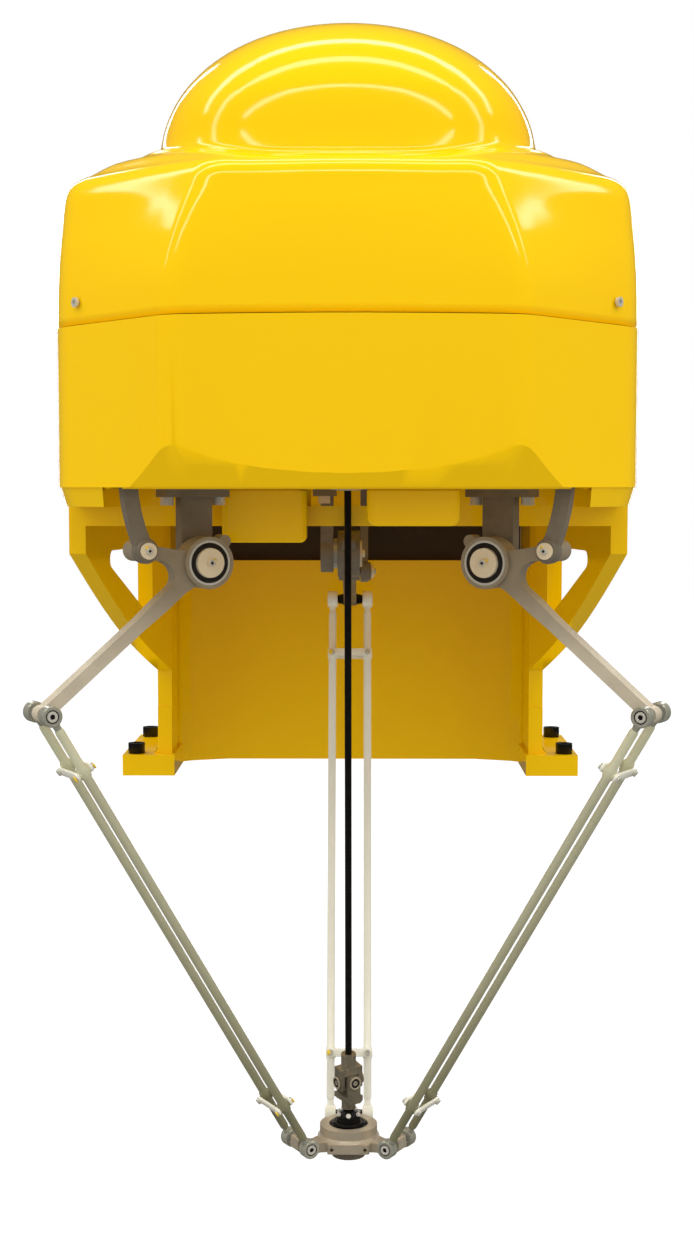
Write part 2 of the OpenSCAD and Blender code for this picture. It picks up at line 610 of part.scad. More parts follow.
// ---------- forearms ----------
race_r = 4.1;
link_seat = rod_r + 1.2;
function link_side(k) = let (n = cross([0, 1, 0], rod_vec(k))) n / norm(n);
module rod_at(k, s) {
    e = elbow(k) + [0, s * rod_half, 0];
    l = lower_axis(k) + [0, s * rod_half, 0];
    v = rod_vec(k);
    n = norm(v);
    difference() {
        union() {
            for (p = [e, l]) bar(p, eye_r, p[1] - eye_w / 2, p[1] + eye_w / 2);
            aim(e, v) {
                translate([0, 0, 4.5]) cylinder(h = 9, r1 = 3.4, r2 = rod_r - 0.5);
                translate([0, 0, n - 13.5]) cylinder(h = 9, r1 = rod_r - 0.5, r2 = 3.4);
                translate([0, 0, 12]) cylinder(h = n - 24, r = rod_r - 0.5);
                translate([0, 0, 21]) cylinder(h = n - 42, r = rod_r);
                for (z = [link_pos, n - link_pos]) translate([0, 0, z - 2.6])
                    cylinder(h = 5.2, r = rod_r + 0.9);
            }
            for (z = [link_pos, n - link_pos]) aim(e + v * z / n, link_side(k))
                cylinder(h = link_seat, r = 2.5);
        }
        for (p = [e, l]) bar(p, race_r + 0.02, p[1] - eye_w / 2 - 1, p[1] + eye_w / 2 + 1);
    }
}
module rods(k) color(nickel) at_arm(k) for (s = [-1, 1]) rod_at(k, s);
module rod_bearings(k) color(bright_steel) at_arm(k) for (s = [-1, 1]) {
    e = elbow(k) + [0, s * rod_half, 0];
    l = lower_axis(k) + [0, s * rod_half, 0];
    ring(e, race_r, pin_r - 0.5 + run_gap, e[1] - eye_w / 2 + 0.3, e[1] + eye_w / 2 - 0.3);
    ring(l, race_r, pin_r - 0.5, l[1] - eye_w / 2 + 0.3, l[1] + eye_w / 2 - 0.3);
}
bar_t = 1.8;
// Two bars a forearm that keep its rods level with each other, each on two screws.
module cross_links(k) color(bright_steel) at_arm(k) {
    n = norm(rod_vec(k));
    side = link_side(k);
    for (z = [link_pos, n - link_pos]) {
        c = elbow(k) + rod_vec(k) * z / n + side * (link_seat + 0.02);
        for (s = [-1, 1]) aim(c + [0, s * rod_half, 0], side) {
            cylinder(h = bar_t, r = 2.8);
            cylinder(h = bar_t + 1.8, r = 2.1);
        }
        translate([c[0], c[1] + rod_half, c[2]]) rotate([90, 0, 0])
            rotate([0, 0, atan2(side[2], side[0])]) translate([0, -2.3, 0])
                cube([bar_t, 4.6, 2 * rod_half]);
    }
}
// Short pins and sealed cones between the lower barrels and the platform's ears.
module lower_pins(k) color(black_oxide) at_arm(k) for (s = [-1, 1]) {
    p = lower_axis(k);
    bar(p, pin_r - 0.52, p[1] + (s > 0 ? ear_half + face_gap : -eye_out + 0.6),
        p[1] + (s > 0 ? eye_out - 0.6 : -ear_half - face_gap));
    y0 = s * (ear_half + face_gap);
    y1 = s * (eye_in + 0.3);
    taper(p, s > 0 ? 3.6 : 3.0, s > 0 ? 3.0 : 3.6, p[1] + min(y0, y1), p[1] + max(y0, y1));
}

// ---------- drive links, cranks and gearmotors ----------
function bow_radius() = (pow(norm(link_vec) / 2, 2) + pow(link_bow, 2)) / (2 * link_bow);
module link_profile() {
    chord = norm(link_vec);
    radius = bow_radius();
    lean = atan2(link_vec[0], link_vec[2]);
    half = asin(chord / 2 / radius);
    rotate(-lean) {
        translate([link_bow - radius, chord / 2]) difference() {
            intersection() {
                circle(radius + link_w / 2, $fn = 160);
                polygon([[0, 0], 1.3 * radius * [cos(half), -sin(half)], [1.6 * radius, 0],
                    1.3 * radius * [cos(half), sin(half)]]);
            }
            circle(radius - link_w / 2, $fn = 160);
        }
        for (z = [0, chord]) translate([0, z]) circle(7.7);
    }
}
module drive_link(k) color(cast_steel) at_arm(k) difference() {
    union() {
        translate(lever_pin(k)) slab(link_in, link_in + link_t) link_profile();
        for (p = [lever_pin(k), lever_pin(k) + link_vec]) bar(p, 6.6, link_in, link_in + link_t + 2);
    }
    for (p = [lever_pin(k), lever_pin(k) + link_vec]) bar(p, pin_r + run_gap, link_in - 1, link_in + 20);
}
module pin_with_cap(p, y0) {
    bar(p, pin_r, y0, link_in + link_t + 2.4);
    bar(p, 5, link_in + link_t + 2.35, link_in + link_t + 4);
    translate([p[0], link_in + link_t + 4, p[2]]) rotate([-90, 0, 0]) screw(1, 2, 1.5, 1);
}
module link_pin(k) color(bright_steel) at_arm(k) pin_with_cap(lever_pin(k), -lever_half);

output_r = 6;
module crank(k) color(cast_steel) at_arm(k) {
    hub = [base_r, 0, 0] + link_vec;
    tip = lever_pin(k) + link_vec;
    difference() {
        union() {
            translate(hub) slab(-arm_t / 2, arm_t / 2) rotate(lever_up[k])
                polygon([[0, -11], [12, -9.5], [lever_len, -5.6], [lever_len, 5.6], [12, 9.5], [0, 11]]);
            bar(hub, 13, -arm_t / 2, arm_t / 2);
            bar(tip, 6.6, -arm_t / 2, lever_half);
        }
        bar(hub, output_r + run_gap, -arm_t, arm_t);
    }
    pin_with_cap(tip, -arm_t / 2 + 0.2);
}
module gearmotor(k) color([0.15, 0.15, 0.16]) at_arm(k) {
    hub = [base_r, 0, 0] + link_vec;
    // Gearbox with its flange, then the motor and its encoder cap.
    bar(hub, output_r, -arm_t / 2 - 5, arm_t / 2 + 2);
    bar(hub, 11, -arm_t / 2 - 5, -arm_t / 2 - 0.6);
    bar(hub, 24, -26, -arm_t / 2 - 4);
    bar(hub, 21, -50, -25);
    translate([hub[0] - 20, -96, hub[2] - 20]) cube([40, 47, 40]);
    bar(hub, 17, -108, -95);
    // Foot that bolts the gearbox to the deck.
    translate([hub[0] - 20, -24, deck_z + deck_t]) cube([40, 12, hub[2] - deck_z - deck_t]);
}

// ---------- wrist drive ----------
pivot_z = deck_rise + 20;
joint_rise = 38;
cross_c = [0, platform_y, platform_z + joint_rise];
pivot = [0, 0, pivot_z];
shaft_vec = pivot - cross_c;
shaft_tilt = atan2(-shaft_vec[1], shaft_vec[2]);
// Frame of the spline shaft: +z along it, origin at the tilting pivot.
module at_shaft() at_robot() translate(pivot) rotate([shaft_tilt, 0, 0]) children();
// Frame of the wrist: origin at the platform's joint plane.
module at_wrist() at_robot() translate([0, platform_y, platform_z]) children();
trunnion_r = 5;
motor_r = 24;
module gimbal_bracket() color(cast_steel) at_robot() for (s = [0, 1]) mirror([s, 0, 0]) difference() {
    union() {
        translate([motor_r + 5, -9, deck_z + deck_t]) cube([7, 18, pivot_z - deck_z - deck_t]);
        translate([motor_r + 5, 0, pivot_z]) rotate([0, 90, 0]) cylinder(h = 7, r = 9);
        translate([motor_r + 5, -12, deck_z + deck_t]) cube([20, 24, 4]);
    }
    translate([motor_r, 0, pivot_z]) rotate([0, 90, 0]) cylinder(h = 30, r = trunnion_r + run_gap);
}
module wrist_motor() color([0.15, 0.15, 0.16]) at_shaft() difference() {
    union() {
        translate([0, 0, -11]) cylinder(h = 58, r = motor_r);
        translate([0, 0, 47]) cylinder(h = 6, r = motor_r - 3);
        for (s = [-1, 1]) rotate([0, s * 90, 0]) cylinder(h = motor_r + 11.6, r = trunnion_r);
    }
    translate([0, 0, -20]) cylinder(h = 90, r = 12 + run_gap);
}
nut_r = 12;
module spline_nut() color(bright_steel) at_shaft() difference() {
    union() {
        translate([0, 0, -15]) cylinder(h = 72, r = nut_r);
        translate([0, 0, -19]) cylinder(h = 4.5, r = nut_r + 2);
    }
    translate([0, 0, -30]) cylinder(h = 100, r = spline_r + run_gap);
}
collar_r = 5.2;
yoke_w = 17;
yoke_gap = 11.2;
cheek_d = 9.4;
yoke_turn = 30;
shaft_foot = norm(shaft_vec) - 14;
module spline_shaft() color(black_oxide) at_shaft()
    translate([0, 0, -shaft_foot]) cylinder(h = spline_len, r = spline_r);
// Yoke with its two cheeks pointing down, origin at the joint's centre.
module yoke(height) difference() {
    union() {
        translate([-yoke_w / 2, -cheek_d / 2, -5]) cube([yoke_w, cheek_d, 15.5]);
        translate([0, 0, 10]) cylinder(h = height - 10, r = collar_r);
        for (s = [-1, 1]) rotate([0, s * 90, 0]) cylinder(h = yoke_w / 2 + 1.4, r = 3.8);
    }
    translate([-yoke_gap / 2, -cheek_d, -7]) cube([yoke_gap, 2 * cheek_d, 12]);
    rotate([0, 90, 0]) cylinder(h = 40, r = 2.02, center = true);
}
module upper_yoke() color(bright_steel) at_shaft() translate([0, 0, -norm(shaft_vec)])
    rotate([0, 0, yoke_turn]) difference() {
        yoke(20);
        translate([0, 0, 13]) cylinder(h = 20, r = spline_r + 0.02);
    }
module joint_cross() color(bright_steel) at_shaft() translate([0, 0, -norm(shaft_vec)])
    rotate([0, 0, yoke_turn]) {
        cube([8.4, 8.4, 8.4], center = true);
        rotate([0, 90, 0]) cylinder(h = yoke_w + 2.4, r = 2, center = true);
        rotate([90, 0, 0]) cylinder(h = 10, r = 3.4, center = true);
    }

// ---------- platform and tool flange ----------
wrist_seat = 13.5;
neck_r = 8.5;
plate_top = -1;
plate_low = -7.5;
flat_half = 14.5;
flat_y = disc_r + 2;
ear_size = 9;
module platform() color(cast_steel) at_wrist() difference() {
    union() {
        translate([0, 0, 1]) cylinder(h = disc_t, r = disc_r);
        translate([0, 0, plate_top - 0.1]) cylinder(h = 2.2, r1 = disc_r + 1.6, r2 = disc_r);
        translate([0, 0, plate_low]) linear_extrude(plate_top - plate_low) {
            circle(disc_r + 1.6);
            polygon([[-flat_half, 0], [-flat_half, 1 - flat_y], [1 - flat_half, -flat_y],
                [flat_half - 1, -flat_y], [flat_half, 1 - flat_y], [flat_half, 0]]);
            for (k = [LEFT, RIGHT, REAR]) rotate(azimuth[k]) polygon([[0, -12], [disc_r - 2, -9.5],
                [disc_r + 5, -ear_half - 0.6], [platform_r - 2, -ear_half], [platform_r - 2, ear_half],
                [disc_r + 5, ear_half + 0.6], [disc_r - 2, 9.5], [0, 12]]);
        }
        for (k = [LEFT, RIGHT, REAR]) rotate([0, 0, azimuth[k]])
            translate([platform_r, 0, 0]) slab(-ear_half, ear_half) polygon(rounded(
                [[-ear_size / 2, -ear_size / 2, 2], [ear_size / 2, -ear_size / 2, 2],
                [ear_size / 2, ear_size / 2, 2], [-ear_size / 2, ear_size / 2, 2]], 4));
    }
    translate([0, 0, -20]) cylinder(h = 40, r = wrist_seat + 0.02);
    for (k = [LEFT, RIGHT, REAR]) rotate([0, 0, azimuth[k]]) bar([platform_r, 0, 0], 2, -20, 20);
    for (x = [-11.5, 11.5]) translate([x, -flat_y - 1, -4.4]) rotate([-90, 0, 0]) cylinder(h = 6, r = 1.3);
}
module wrist_bearing() color(black_oxide) at_wrist() translate([0, 0, -6.5]) difference() {
    cylinder(h = 12, r = wrist_seat);
    translate([0, 0, -1]) cylinder(h = 20, r = neck_r + run_gap);
}
// Black flange that turns in the bearing: sleeve, rim, ball and neck.
ball_r = 8.6;
ball_z = disc_t + 3;
ball_neck = 3.2;
collar_z0 = 18;
module ball_flange() color(black_oxide) at_wrist() difference() {
    union() {
        translate([0, 0, -6.3]) cylinder(h = disc_t + 9, r = neck_r);
        translate([0, 0, disc_t + 1 + face_gap]) cylinder(h = 1.6, r1 = 11.6, r2 = 10.8);
        intersection() {
            translate([0, 0, ball_z]) sphere(ball_r);
            translate([0, 0, disc_t + 2]) cylinder(h = 20, r = ball_r + 1);
        }
        translate([0, 0, ball_z + 6]) cylinder(h = collar_z0 - ball_z - 2.2, r = ball_neck);
    }
    flange_screw_places() translate([0, 0, -3]) cylinder(h = 6, r = 0.82);
}
module flange_screw_places() for (a = [0:60:300]) rotate([0, 0, a + 30])
    translate([0, 0, ball_z]) rotate([0, 56, 0]) translate([0, 0, ball_r]) children();
module flange_screws() color(bright_steel) at_wrist() flange_screw_places() {
    translate([0, 0, 0.1]) cylinder(h = 1.4, r = 1.6);
    translate([0, 0, -2.5]) cylinder(h = 2.8, r = 0.8);
}
fork_in = 5.8;
fork_out = 8.8;
fork_half = 4.6;
module lower_yoke() color(bright_steel) at_wrist() difference() {
    union() {
        translate([0, 0, collar_z0]) cylinder(h = joint_rise - 12 - collar_z0, r = 4.9);
        translate([0, 0, joint_rise]) rotate([0, 0, yoke_turn]) {
            for (s = [-1, 1]) {
                translate([-fork_half, s > 0 ? fork_in : -fork_out, -12])
                    cube([2 * fork_half, fork_out - fork_in, 16]);
                translate([0, s * 5.9, 0]) rotate([-90 * s, 0, 0]) cylinder(h = 3.8, r = 4.6);
            }
            slab(-fork_out, fork_out) polygon([[-6.4, -13], [-4.4, -15], [4.4, -15], [6.4, -13],
                [6.4, -9.5], [-6.4, -9.5]]);
        }
    }
    translate([0, 0, collar_z0 - 1]) cylinder(h = 5, r = ball_neck + 0.02);
    translate([0, 0, collar_z0 + 2.5]) rotate([90, 0, 200]) translate([0, 0, 3]) cylinder(h = 4, r = 1.1);
}
module tool_flange() color(cast_steel) at_wrist() difference() {
    translate([0, 0, -15.5]) union() {
        cylinder(h = 7.6, r = flange_r);
        translate([0, 0, 7.5]) cylinder(h = 1.7, r = neck_r);
    }
    translate([0, 0, -16]) cylinder(h = 6.5, r = flange_bore);
    for (a = [45:90:315]) rotate([0, 0, a]) translate([flange_pcr, 0, -16]) cylinder(h = 6, r = 1.25);
}

stand();
back_panels();
foot_bolts();
deck();
lower_cover();
upper_cover();
cover_screws();
left_underside_cover();
right_underside_cover();
connector_panel();
shoulder_brackets();
bracket_bolts();
shoulder_shafts();
shaft_caps();
arm(LEFT);  // left_arm
shoulder_bearings(LEFT);  // left_shoulder_bearings
elbow_pin(LEFT);  // left_elbow_pin
rods(LEFT);  // left_rods
rod_bearings(LEFT);  // left_rod_bearings
cross_links(LEFT);  // left_cross_links
lower_pins(LEFT);  // left_lower_pins
drive_link(LEFT);  // left_drive_link
link_pin(LEFT);  // left_link_pin
crank(LEFT);  // left_crank
gearmotor(LEFT);  // left_gearmotor
arm(RIGHT);  // right_arm
shoulder_bearings(RIGHT);  // right_shoulder_bearings
elbow_pin(RIGHT);  // right_elbow_pin
rods(RIGHT);  // right_rods
rod_bearings(RIGHT);  // right_rod_bearings
cross_links(RIGHT);  // right_cross_links
lower_pins(RIGHT);  // right_lower_pins
drive_link(RIGHT);  // right_drive_link
link_pin(RIGHT);  // right_link_pin
crank(RIGHT);  // right_crank
gearmotor(RIGHT);  // right_gearmotor
arm(REAR);  // rear_arm
shoulder_bearings(REAR);  // rear_shoulder_bearings
elbow_pin(REAR);  // rear_elbow_pin
rods(REAR);  // rear_rods
rod_bearings(REAR);  // rear_rod_bearings
cross_links(REAR);  // rear_cross_links
lower_pins(REAR);  // rear_lower_pins
drive_link(REAR);  // rear_drive_link
link_pin(REAR);  // rear_link_pin
crank(REAR);  // rear_crank
gearmotor(REAR);  // rear_gearmotor
gimbal_bracket();
wrist_motor();
spline_nut();
spline_shaft();
upper_yoke();
joint_cross();
platform();
wrist_bearing();
ball_flange();
flange_screws();
lower_yoke();
tool_flange();
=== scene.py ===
import json
import math
from itertools import product
import bpy
from mathutils import Matrix, Vector


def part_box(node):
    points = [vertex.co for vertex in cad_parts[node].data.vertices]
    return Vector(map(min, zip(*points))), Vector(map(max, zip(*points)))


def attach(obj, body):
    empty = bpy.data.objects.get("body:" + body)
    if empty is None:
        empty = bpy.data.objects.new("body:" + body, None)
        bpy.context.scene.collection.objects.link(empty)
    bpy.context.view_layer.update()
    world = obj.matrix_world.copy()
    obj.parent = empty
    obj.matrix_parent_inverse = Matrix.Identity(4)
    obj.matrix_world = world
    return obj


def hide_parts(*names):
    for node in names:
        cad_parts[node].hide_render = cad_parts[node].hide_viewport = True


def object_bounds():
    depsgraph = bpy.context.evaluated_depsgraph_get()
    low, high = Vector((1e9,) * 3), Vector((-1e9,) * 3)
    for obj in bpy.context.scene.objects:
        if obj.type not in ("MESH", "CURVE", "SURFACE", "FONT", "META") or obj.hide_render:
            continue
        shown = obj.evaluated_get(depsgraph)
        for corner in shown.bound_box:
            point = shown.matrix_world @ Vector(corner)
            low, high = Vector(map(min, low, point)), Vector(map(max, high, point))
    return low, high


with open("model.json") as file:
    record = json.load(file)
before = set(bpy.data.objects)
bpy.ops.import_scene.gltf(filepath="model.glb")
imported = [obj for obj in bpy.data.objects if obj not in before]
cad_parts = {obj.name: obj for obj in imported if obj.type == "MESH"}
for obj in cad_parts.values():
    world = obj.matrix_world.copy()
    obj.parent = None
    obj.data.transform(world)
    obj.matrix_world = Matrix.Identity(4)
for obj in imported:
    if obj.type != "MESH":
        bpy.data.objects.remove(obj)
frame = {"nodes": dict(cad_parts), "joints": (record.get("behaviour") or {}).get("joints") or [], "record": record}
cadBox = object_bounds()
nodes = frame["nodes"]
record = frame["record"]
jointOf = {joint["name"]: joint for joint in frame["joints"]}
nodeSlot = {part["node"]: part["material_slot"] for part in record["subparts"]}
bodyOf = {name: body for body, members in record["behaviour"]["bodies"].items() for name in members}
mm = 0.001  # sizes of pieces are in mm, all other lengths in metres
print("frame loaded:", len(nodes), "nodes")

# place in metres, tilt and turn in degrees, lens and sensor height in mm
cameraView = {
    "place": (0.0091, -1.452, 0.2222), "tilt": 85.56, "turn": 0.47,
    "lens": 52.18, "sensor": 36.0, "farthest": 50,
}


def addCamera(view):
    data = bpy.data.cameras.new("camera")
    data.sensor_fit = "VERTICAL"
    data.sensor_height = view["sensor"]
    data.lens = view["lens"]
    data.clip_end = view["farthest"]
    camera = bpy.data.objects.new("camera", data)
    bpy.context.scene.collection.objects.link(camera)
    camera.location = view["place"]
    camera.rotation_euler = (math.radians(view["tilt"]), 0, math.radians(view["turn"]))
    bpy.context.scene.camera = camera


addCamera(cameraView)
print("camera set")

noiseSpread = (0.3, 0.7)  # the values that most of a noise lies between
noiseDetail = {"drift": 3, "haze": 4, "peel": 2, "cloud": 5, "smear": 4, "grain": 3}
hazeScale = 30            # uneven gloss of paint, in features per metre
smearShare = 3            # uneven gloss of metal, so much finer than its clouds
paintNoise, metalNoise = 0.5, 0.6
mixSocket = {"first": 6, "second": 7, "result": 2}  # the colour sockets of a Mix node


def newMaterial(name):
    material = bpy.data.materials.new(name)
    material.use_nodes = True
    tree = material.node_tree
    return material, tree, tree.nodes["Principled BSDF"]


def addNoise(tree, scale, detail, roughness):
    # noise on object coordinates, in features per metre
    coordinates = tree.nodes.new("ShaderNodeTexCoord")
    noise = tree.nodes.new("ShaderNodeTexNoise")
    noise.inputs["Scale"].default_value = scale
    noise.inputs["Detail"].default_value = detail
    noise.inputs["Roughness"].default_value = roughness
    tree.links.new(coordinates.outputs["Object"], noise.inputs["Vector"])
    return noise.outputs["Fac"]


def addRange(tree, source, low, high, spread=noiseSpread):
    ramp = tree.nodes.new("ShaderNodeMapRange")
    ramp.inputs["From Min"].default_value, ramp.inputs["From Max"].default_value = spread
    ramp.inputs["To Min"].default_value = low
    ramp.inputs["To Max"].default_value = high
    tree.links.new(source, ramp.inputs["Value"])
    return ramp.outputs["Result"]


def addTones(tree, source, dark, light, spread=noiseSpread):
    ramp = tree.nodes.new("ShaderNodeValToRGB")
    for stop, place, tone in zip(ramp.color_ramp.elements, spread, (dark, light)):
        stop.position = place
        stop.color = (*tone, 1)
    tree.links.new(source, ramp.inputs["Fac"])
    return ramp.outputs["Color"]


def addPaintedShade(tree, tones, paintedShade):
    # painted shade: multiplies the tones by a darker tone, fully at the from height and not at all at the to
    # height, so the piece looks shaded towards one end
    coordinates = tree.nodes.new("ShaderNodeTexCoord")
    split = tree.nodes.new("ShaderNodeSeparateXYZ")
    tree.links.new(coordinates.outputs["Object"], split.inputs["Vector"])
    height = addRange(tree, split.outputs["Z"], 0, 1, (paintedShade["from"], paintedShade["to"]))
    along = addTones(tree, height, paintedShade["tone"], (1, 1, 1), (0, 1))
    both = tree.nodes.new("ShaderNodeMix")
    both.data_type = "RGBA"
    both.blend_type = "MULTIPLY"
    both.inputs["Factor"].default_value = 1
    tree.links.new(tones, both.inputs[mixSocket["first"]])
    tree.links.new(along, both.inputs[mixSocket["second"]])
    return both.outputs[mixSocket["result"]]


def addBump(tree, shader, heights, depth, strength):
    bump = tree.nodes.new("ShaderNodeBump")
    bump.inputs["Distance"].default_value = depth
    bump.inputs["Strength"].default_value = strength
    tree.links.new(heights, bump.inputs["Height"])
    tree.links.new(bump.outputs["Normal"], shader.inputs["Normal"])


def glossPaint(name, finish):
    # sprayed paint: slight drift of tone, orange peel and a clear coat
    material, tree, shader = newMaterial(name)
    drift = addNoise(tree, finish["driftScale"], noiseDetail["drift"], paintNoise)
    tree.links.new(addTones(tree, drift, finish["dark"], finish["light"]), shader.inputs["Base Color"])
    haze = addNoise(tree, hazeScale, noiseDetail["haze"], paintNoise)
    tree.links.new(addRange(tree, haze, *finish["roughness"]), shader.inputs["Roughness"])
    shader.inputs["Coat Weight"].default_value = finish["coat"]
    shader.inputs["Coat Roughness"].default_value = finish["coatRoughness"]
    shader.inputs["Specular IOR Level"].default_value = finish["specular"]
    peel = addNoise(tree, finish["peelScale"], noiseDetail["peel"], paintNoise)
    addBump(tree, shader, peel, finish["peelDepth"], finish["peelStrength"])
    return material


def castMetal(name, finish):
    # blasted, cast or ground metal, and moulded rubber: two tones, a fine grain and uneven gloss
    material, tree, shader = newMaterial(name)
    cloud = addNoise(tree, finish["cloudScale"], noiseDetail["cloud"], metalNoise)
    tones = addTones(tree, cloud, finish["dark"], finish["light"])
    # painted shade towards one end of the piece, for finishes that have it
    if "paintedShade" in finish:
        tones = addPaintedShade(tree, tones, finish["paintedShade"])
    tree.links.new(tones, shader.inputs["Base Color"])
    shader.inputs["Metallic"].default_value = finish["metallic"]
    smear = addNoise(tree, finish["cloudScale"] * smearShare, noiseDetail["smear"], metalNoise)
    tree.links.new(addRange(tree, smear, *finish["roughness"]), shader.inputs["Roughness"])
    grain = addNoise(tree, finish["grainScale"], noiseDetail["grain"], metalNoise)
    addBump(tree, shader, grain, finish["grainDepth"], finish["grainStrength"])
    return material


# tones are linear, scales are in features per metre and depths in metres
yellowPaint = glossPaint("yellowPaint", {
    "dark": (0.965, 0.575, 0.0), "light": (0.985, 0.6, 0.0), "driftScale": 4,
    "roughness": (0.5, 0.58), "specular": 0.0, "coat": 1.0, "coatRoughness": 0.1,
    "peelScale": 420, "peelDepth": 0.0004, "peelStrength": 0.04,
})
darkPaint = glossPaint("darkPaint", {
    "dark": (0.030, 0.018, 0.006), "light": (0.045, 0.026, 0.009), "driftScale": 12,
    "roughness": (0.45, 0.55), "specular": 0.5, "coat": 0.1, "coatRoughness": 0.3,
    "peelScale": 900, "peelDepth": 0.0003, "peelStrength": 0.1,
})
motorPaint = glossPaint("motorPaint", {
    "dark": (0.02, 0.02, 0.022), "light": (0.035, 0.035, 0.038), "driftScale": 20,
    "roughness": (0.4, 0.5), "specular": 0.5, "coat": 0.2, "coatRoughness": 0.2,
    "peelScale": 900, "peelDepth": 0.0003, "peelStrength": 0.1,
})
castSteel = castMetal("castSteel", {
    "dark": (0.62, 0.535, 0.39), "light": (0.74, 0.64, 0.475), "metallic": 0.25, "cloudScale": 60,
    # painted shade: the arms darken from 0.115 m up to fully at 0.16 m and above, where they sit in shade under
    # the housing
    "paintedShade": {"from": 0.16, "to": 0.115, "tone": (0.52, 0.48, 0.42)},
    "roughness": (0.40, 0.52), "grainScale": 2200, "grainDepth": 0.00012, "grainStrength": 0.35,
})
# painted shade: castSteel's tones darkened to about a third, for the brackets, drive links and rear arm that sit
# in shade
shadedCastSteel = castMetal("shadedCastSteel", {
    "dark": (0.19, 0.155, 0.105), "light": (0.26, 0.215, 0.15), "metallic": 0.25, "cloudScale": 60,
    "roughness": (0.42, 0.54), "grainScale": 2200, "grainDepth": 0.00012, "grainStrength": 0.35,
})
platformSteel = castMetal("platformSteel", {
    "dark": (0.55, 0.465, 0.33), "light": (0.66, 0.56, 0.41), "metallic": 0.5, "cloudScale": 80,
    "roughness": (0.30, 0.40), "grainScale": 2600, "grainDepth": 0.0001, "grainStrength": 0.3,
})
capSteel = castMetal("capSteel", {
    "dark": (0.80, 0.66, 0.43), "light": (0.86, 0.71, 0.47), "metallic": 0.15, "cloudScale": 40,
    "roughness": (0.26, 0.34), "grainScale": 3000, "grainDepth": 0.00004, "grainStrength": 0.15,
})
jointSteel = castMetal("jointSteel", {
    "dark": (0.27, 0.23, 0.16), "light": (0.42, 0.36, 0.26), "metallic": 0.68, "cloudScale": 80,
    "roughness": (0.26, 0.34), "grainScale": 2600, "grainDepth": 0.0001, "grainStrength": 0.25,
})
brightSteel = castMetal("brightSteel", {
    "dark": (0.66, 0.62, 0.52), "light": (0.74, 0.70, 0.60), "metallic": 0.35, "cloudScale": 40,
    "roughness": (0.20, 0.28), "grainScale": 3000, "grainDepth": 0.00004, "grainStrength": 0.2,
})
nickelRod = castMetal("nickelRod", {
    "dark": (0.66, 0.64, 0.42), "light": (0.74, 0.71, 0.48), "metallic": 0.15, "cloudScale": 25,
    # painted shade: the rods darken from 0.08 m down to fully at -0.2 m, towards their lower ends
    "paintedShade": {"from": -0.2, "to": 0.08, "tone": (0.36, 0.355, 0.30)},
    "roughness": (0.28, 0.38), "grainScale": 1800, "grainDepth": 0.00005, "grainStrength": 0.2,
})
endNickel = castMetal("endNickel", {
    "dark": (0.40, 0.39, 0.30), "light": (0.54, 0.53, 0.42), "metallic": 0.45, "cloudScale": 60,
    "roughness": (0.22, 0.32), "grainScale": 1800, "grainDepth": 0.00005, "grainStrength": 0.2,
})
paleRod = castMetal("paleRod", {
    "dark": (0.88, 0.85, 0.70), "light": (0.94, 0.91, 0.77), "metallic": 0.1, "cloudScale": 25,
    "roughness": (0.28, 0.38), "grainScale": 1800, "grainDepth": 0.00005, "grainStrength": 0.2,
})
sealRubber = castMetal("sealRubber", {
    "dark": (0.010, 0.006, 0.004), "light": (0.022, 0.014, 0.010), "metallic": 0.0, "cloudScale": 200,
    "roughness": (0.42, 0.55), "grainScale": 4000, "grainDepth": 0.00004, "grainStrength": 0.2,
})
markPaint = glossPaint("markPaint", {
    "dark": (0.80, 0.52, 0.02), "light": (0.93, 0.66, 0.05), "driftScale": 300,
    "roughness": (0.35, 0.5), "specular": 0.5, "coat": 0.3, "coatRoughness": 0.2,
    "peelScale": 1500, "peelDepth": 0.0001, "peelStrength": 0.3,
})
blackSteel = castMetal("blackSteel", {
    "dark": (0.008, 0.007, 0.006), "light": (0.018, 0.016, 0.014), "metallic": 0.6, "cloudScale": 90,
    "roughness": (0.28, 0.40), "grainScale": 2500, "grainDepth": 0.00005, "grainStrength": 0.2,
})
slotMaterial = {
    "yellow_paint": yellowPaint, "dark_panel": darkPaint, "motor_black": motorPaint,
    "cast_steel": castSteel, "bright_steel": brightSteel, "bearing_steel": brightSteel,
    "nickel_rod": nickelRod, "black_steel": blackSteel, "panel_grey": platformSteel,
}
finishNodes = [
    (capSteel, ("shaft_caps", "left_link_pin", "right_link_pin", "rear_link_pin")),
    # cast steel with painted shade, for the parts in shade
    (shadedCastSteel, ("shoulder_brackets", "left_drive_link", "right_drive_link", "rear_drive_link", "rear_arm")),
    (platformSteel, ("platform",)),
    (jointSteel, ("upper_yoke", "joint_cross", "lower_yoke", "tool_flange")),
    (paleRod, ("rear_rods", "left_cross_links", "right_cross_links", "rear_cross_links")),
]
nodeMaterial = {name: material for material, names in finishNodes for name in names}
print("materials made:", len(bpy.data.materials))


def finishOf(name):
    # the node's own finish, or else its slot's
    return nodeMaterial.get(name, slotMaterial[nodeSlot[name]])


def onlySelect(piece):
    if bpy.context.object and bpy.context.object.mode != "OBJECT":
        bpy.ops.object.mode_set(mode="OBJECT")
    bpy.ops.object.select_all(action="DESELECT")
    piece.select_set(True)
    bpy.context.view_layer.objects.active = piece


def applyModifiers(piece):
    onlySelect(piece)
    for modifier in list(piece.modifiers):
        bpy.ops.object.modifier_apply(modifier=modifier.name)


bevelSegments = 2
mergeDistance = 0.004 * mm  # the loose corners of a node's triangles lie closer than this


def shadeSmooth(angle):
    bpy.ops.object.shade_smooth_by_angle(angle=math.radians(angle))


def linkPiece(name, mesh):
    piece = bpy.data.objects.new(name, mesh)
    bpy.context.scene.collection.objects.link(piece)
    onlySelect(piece)
    return piece


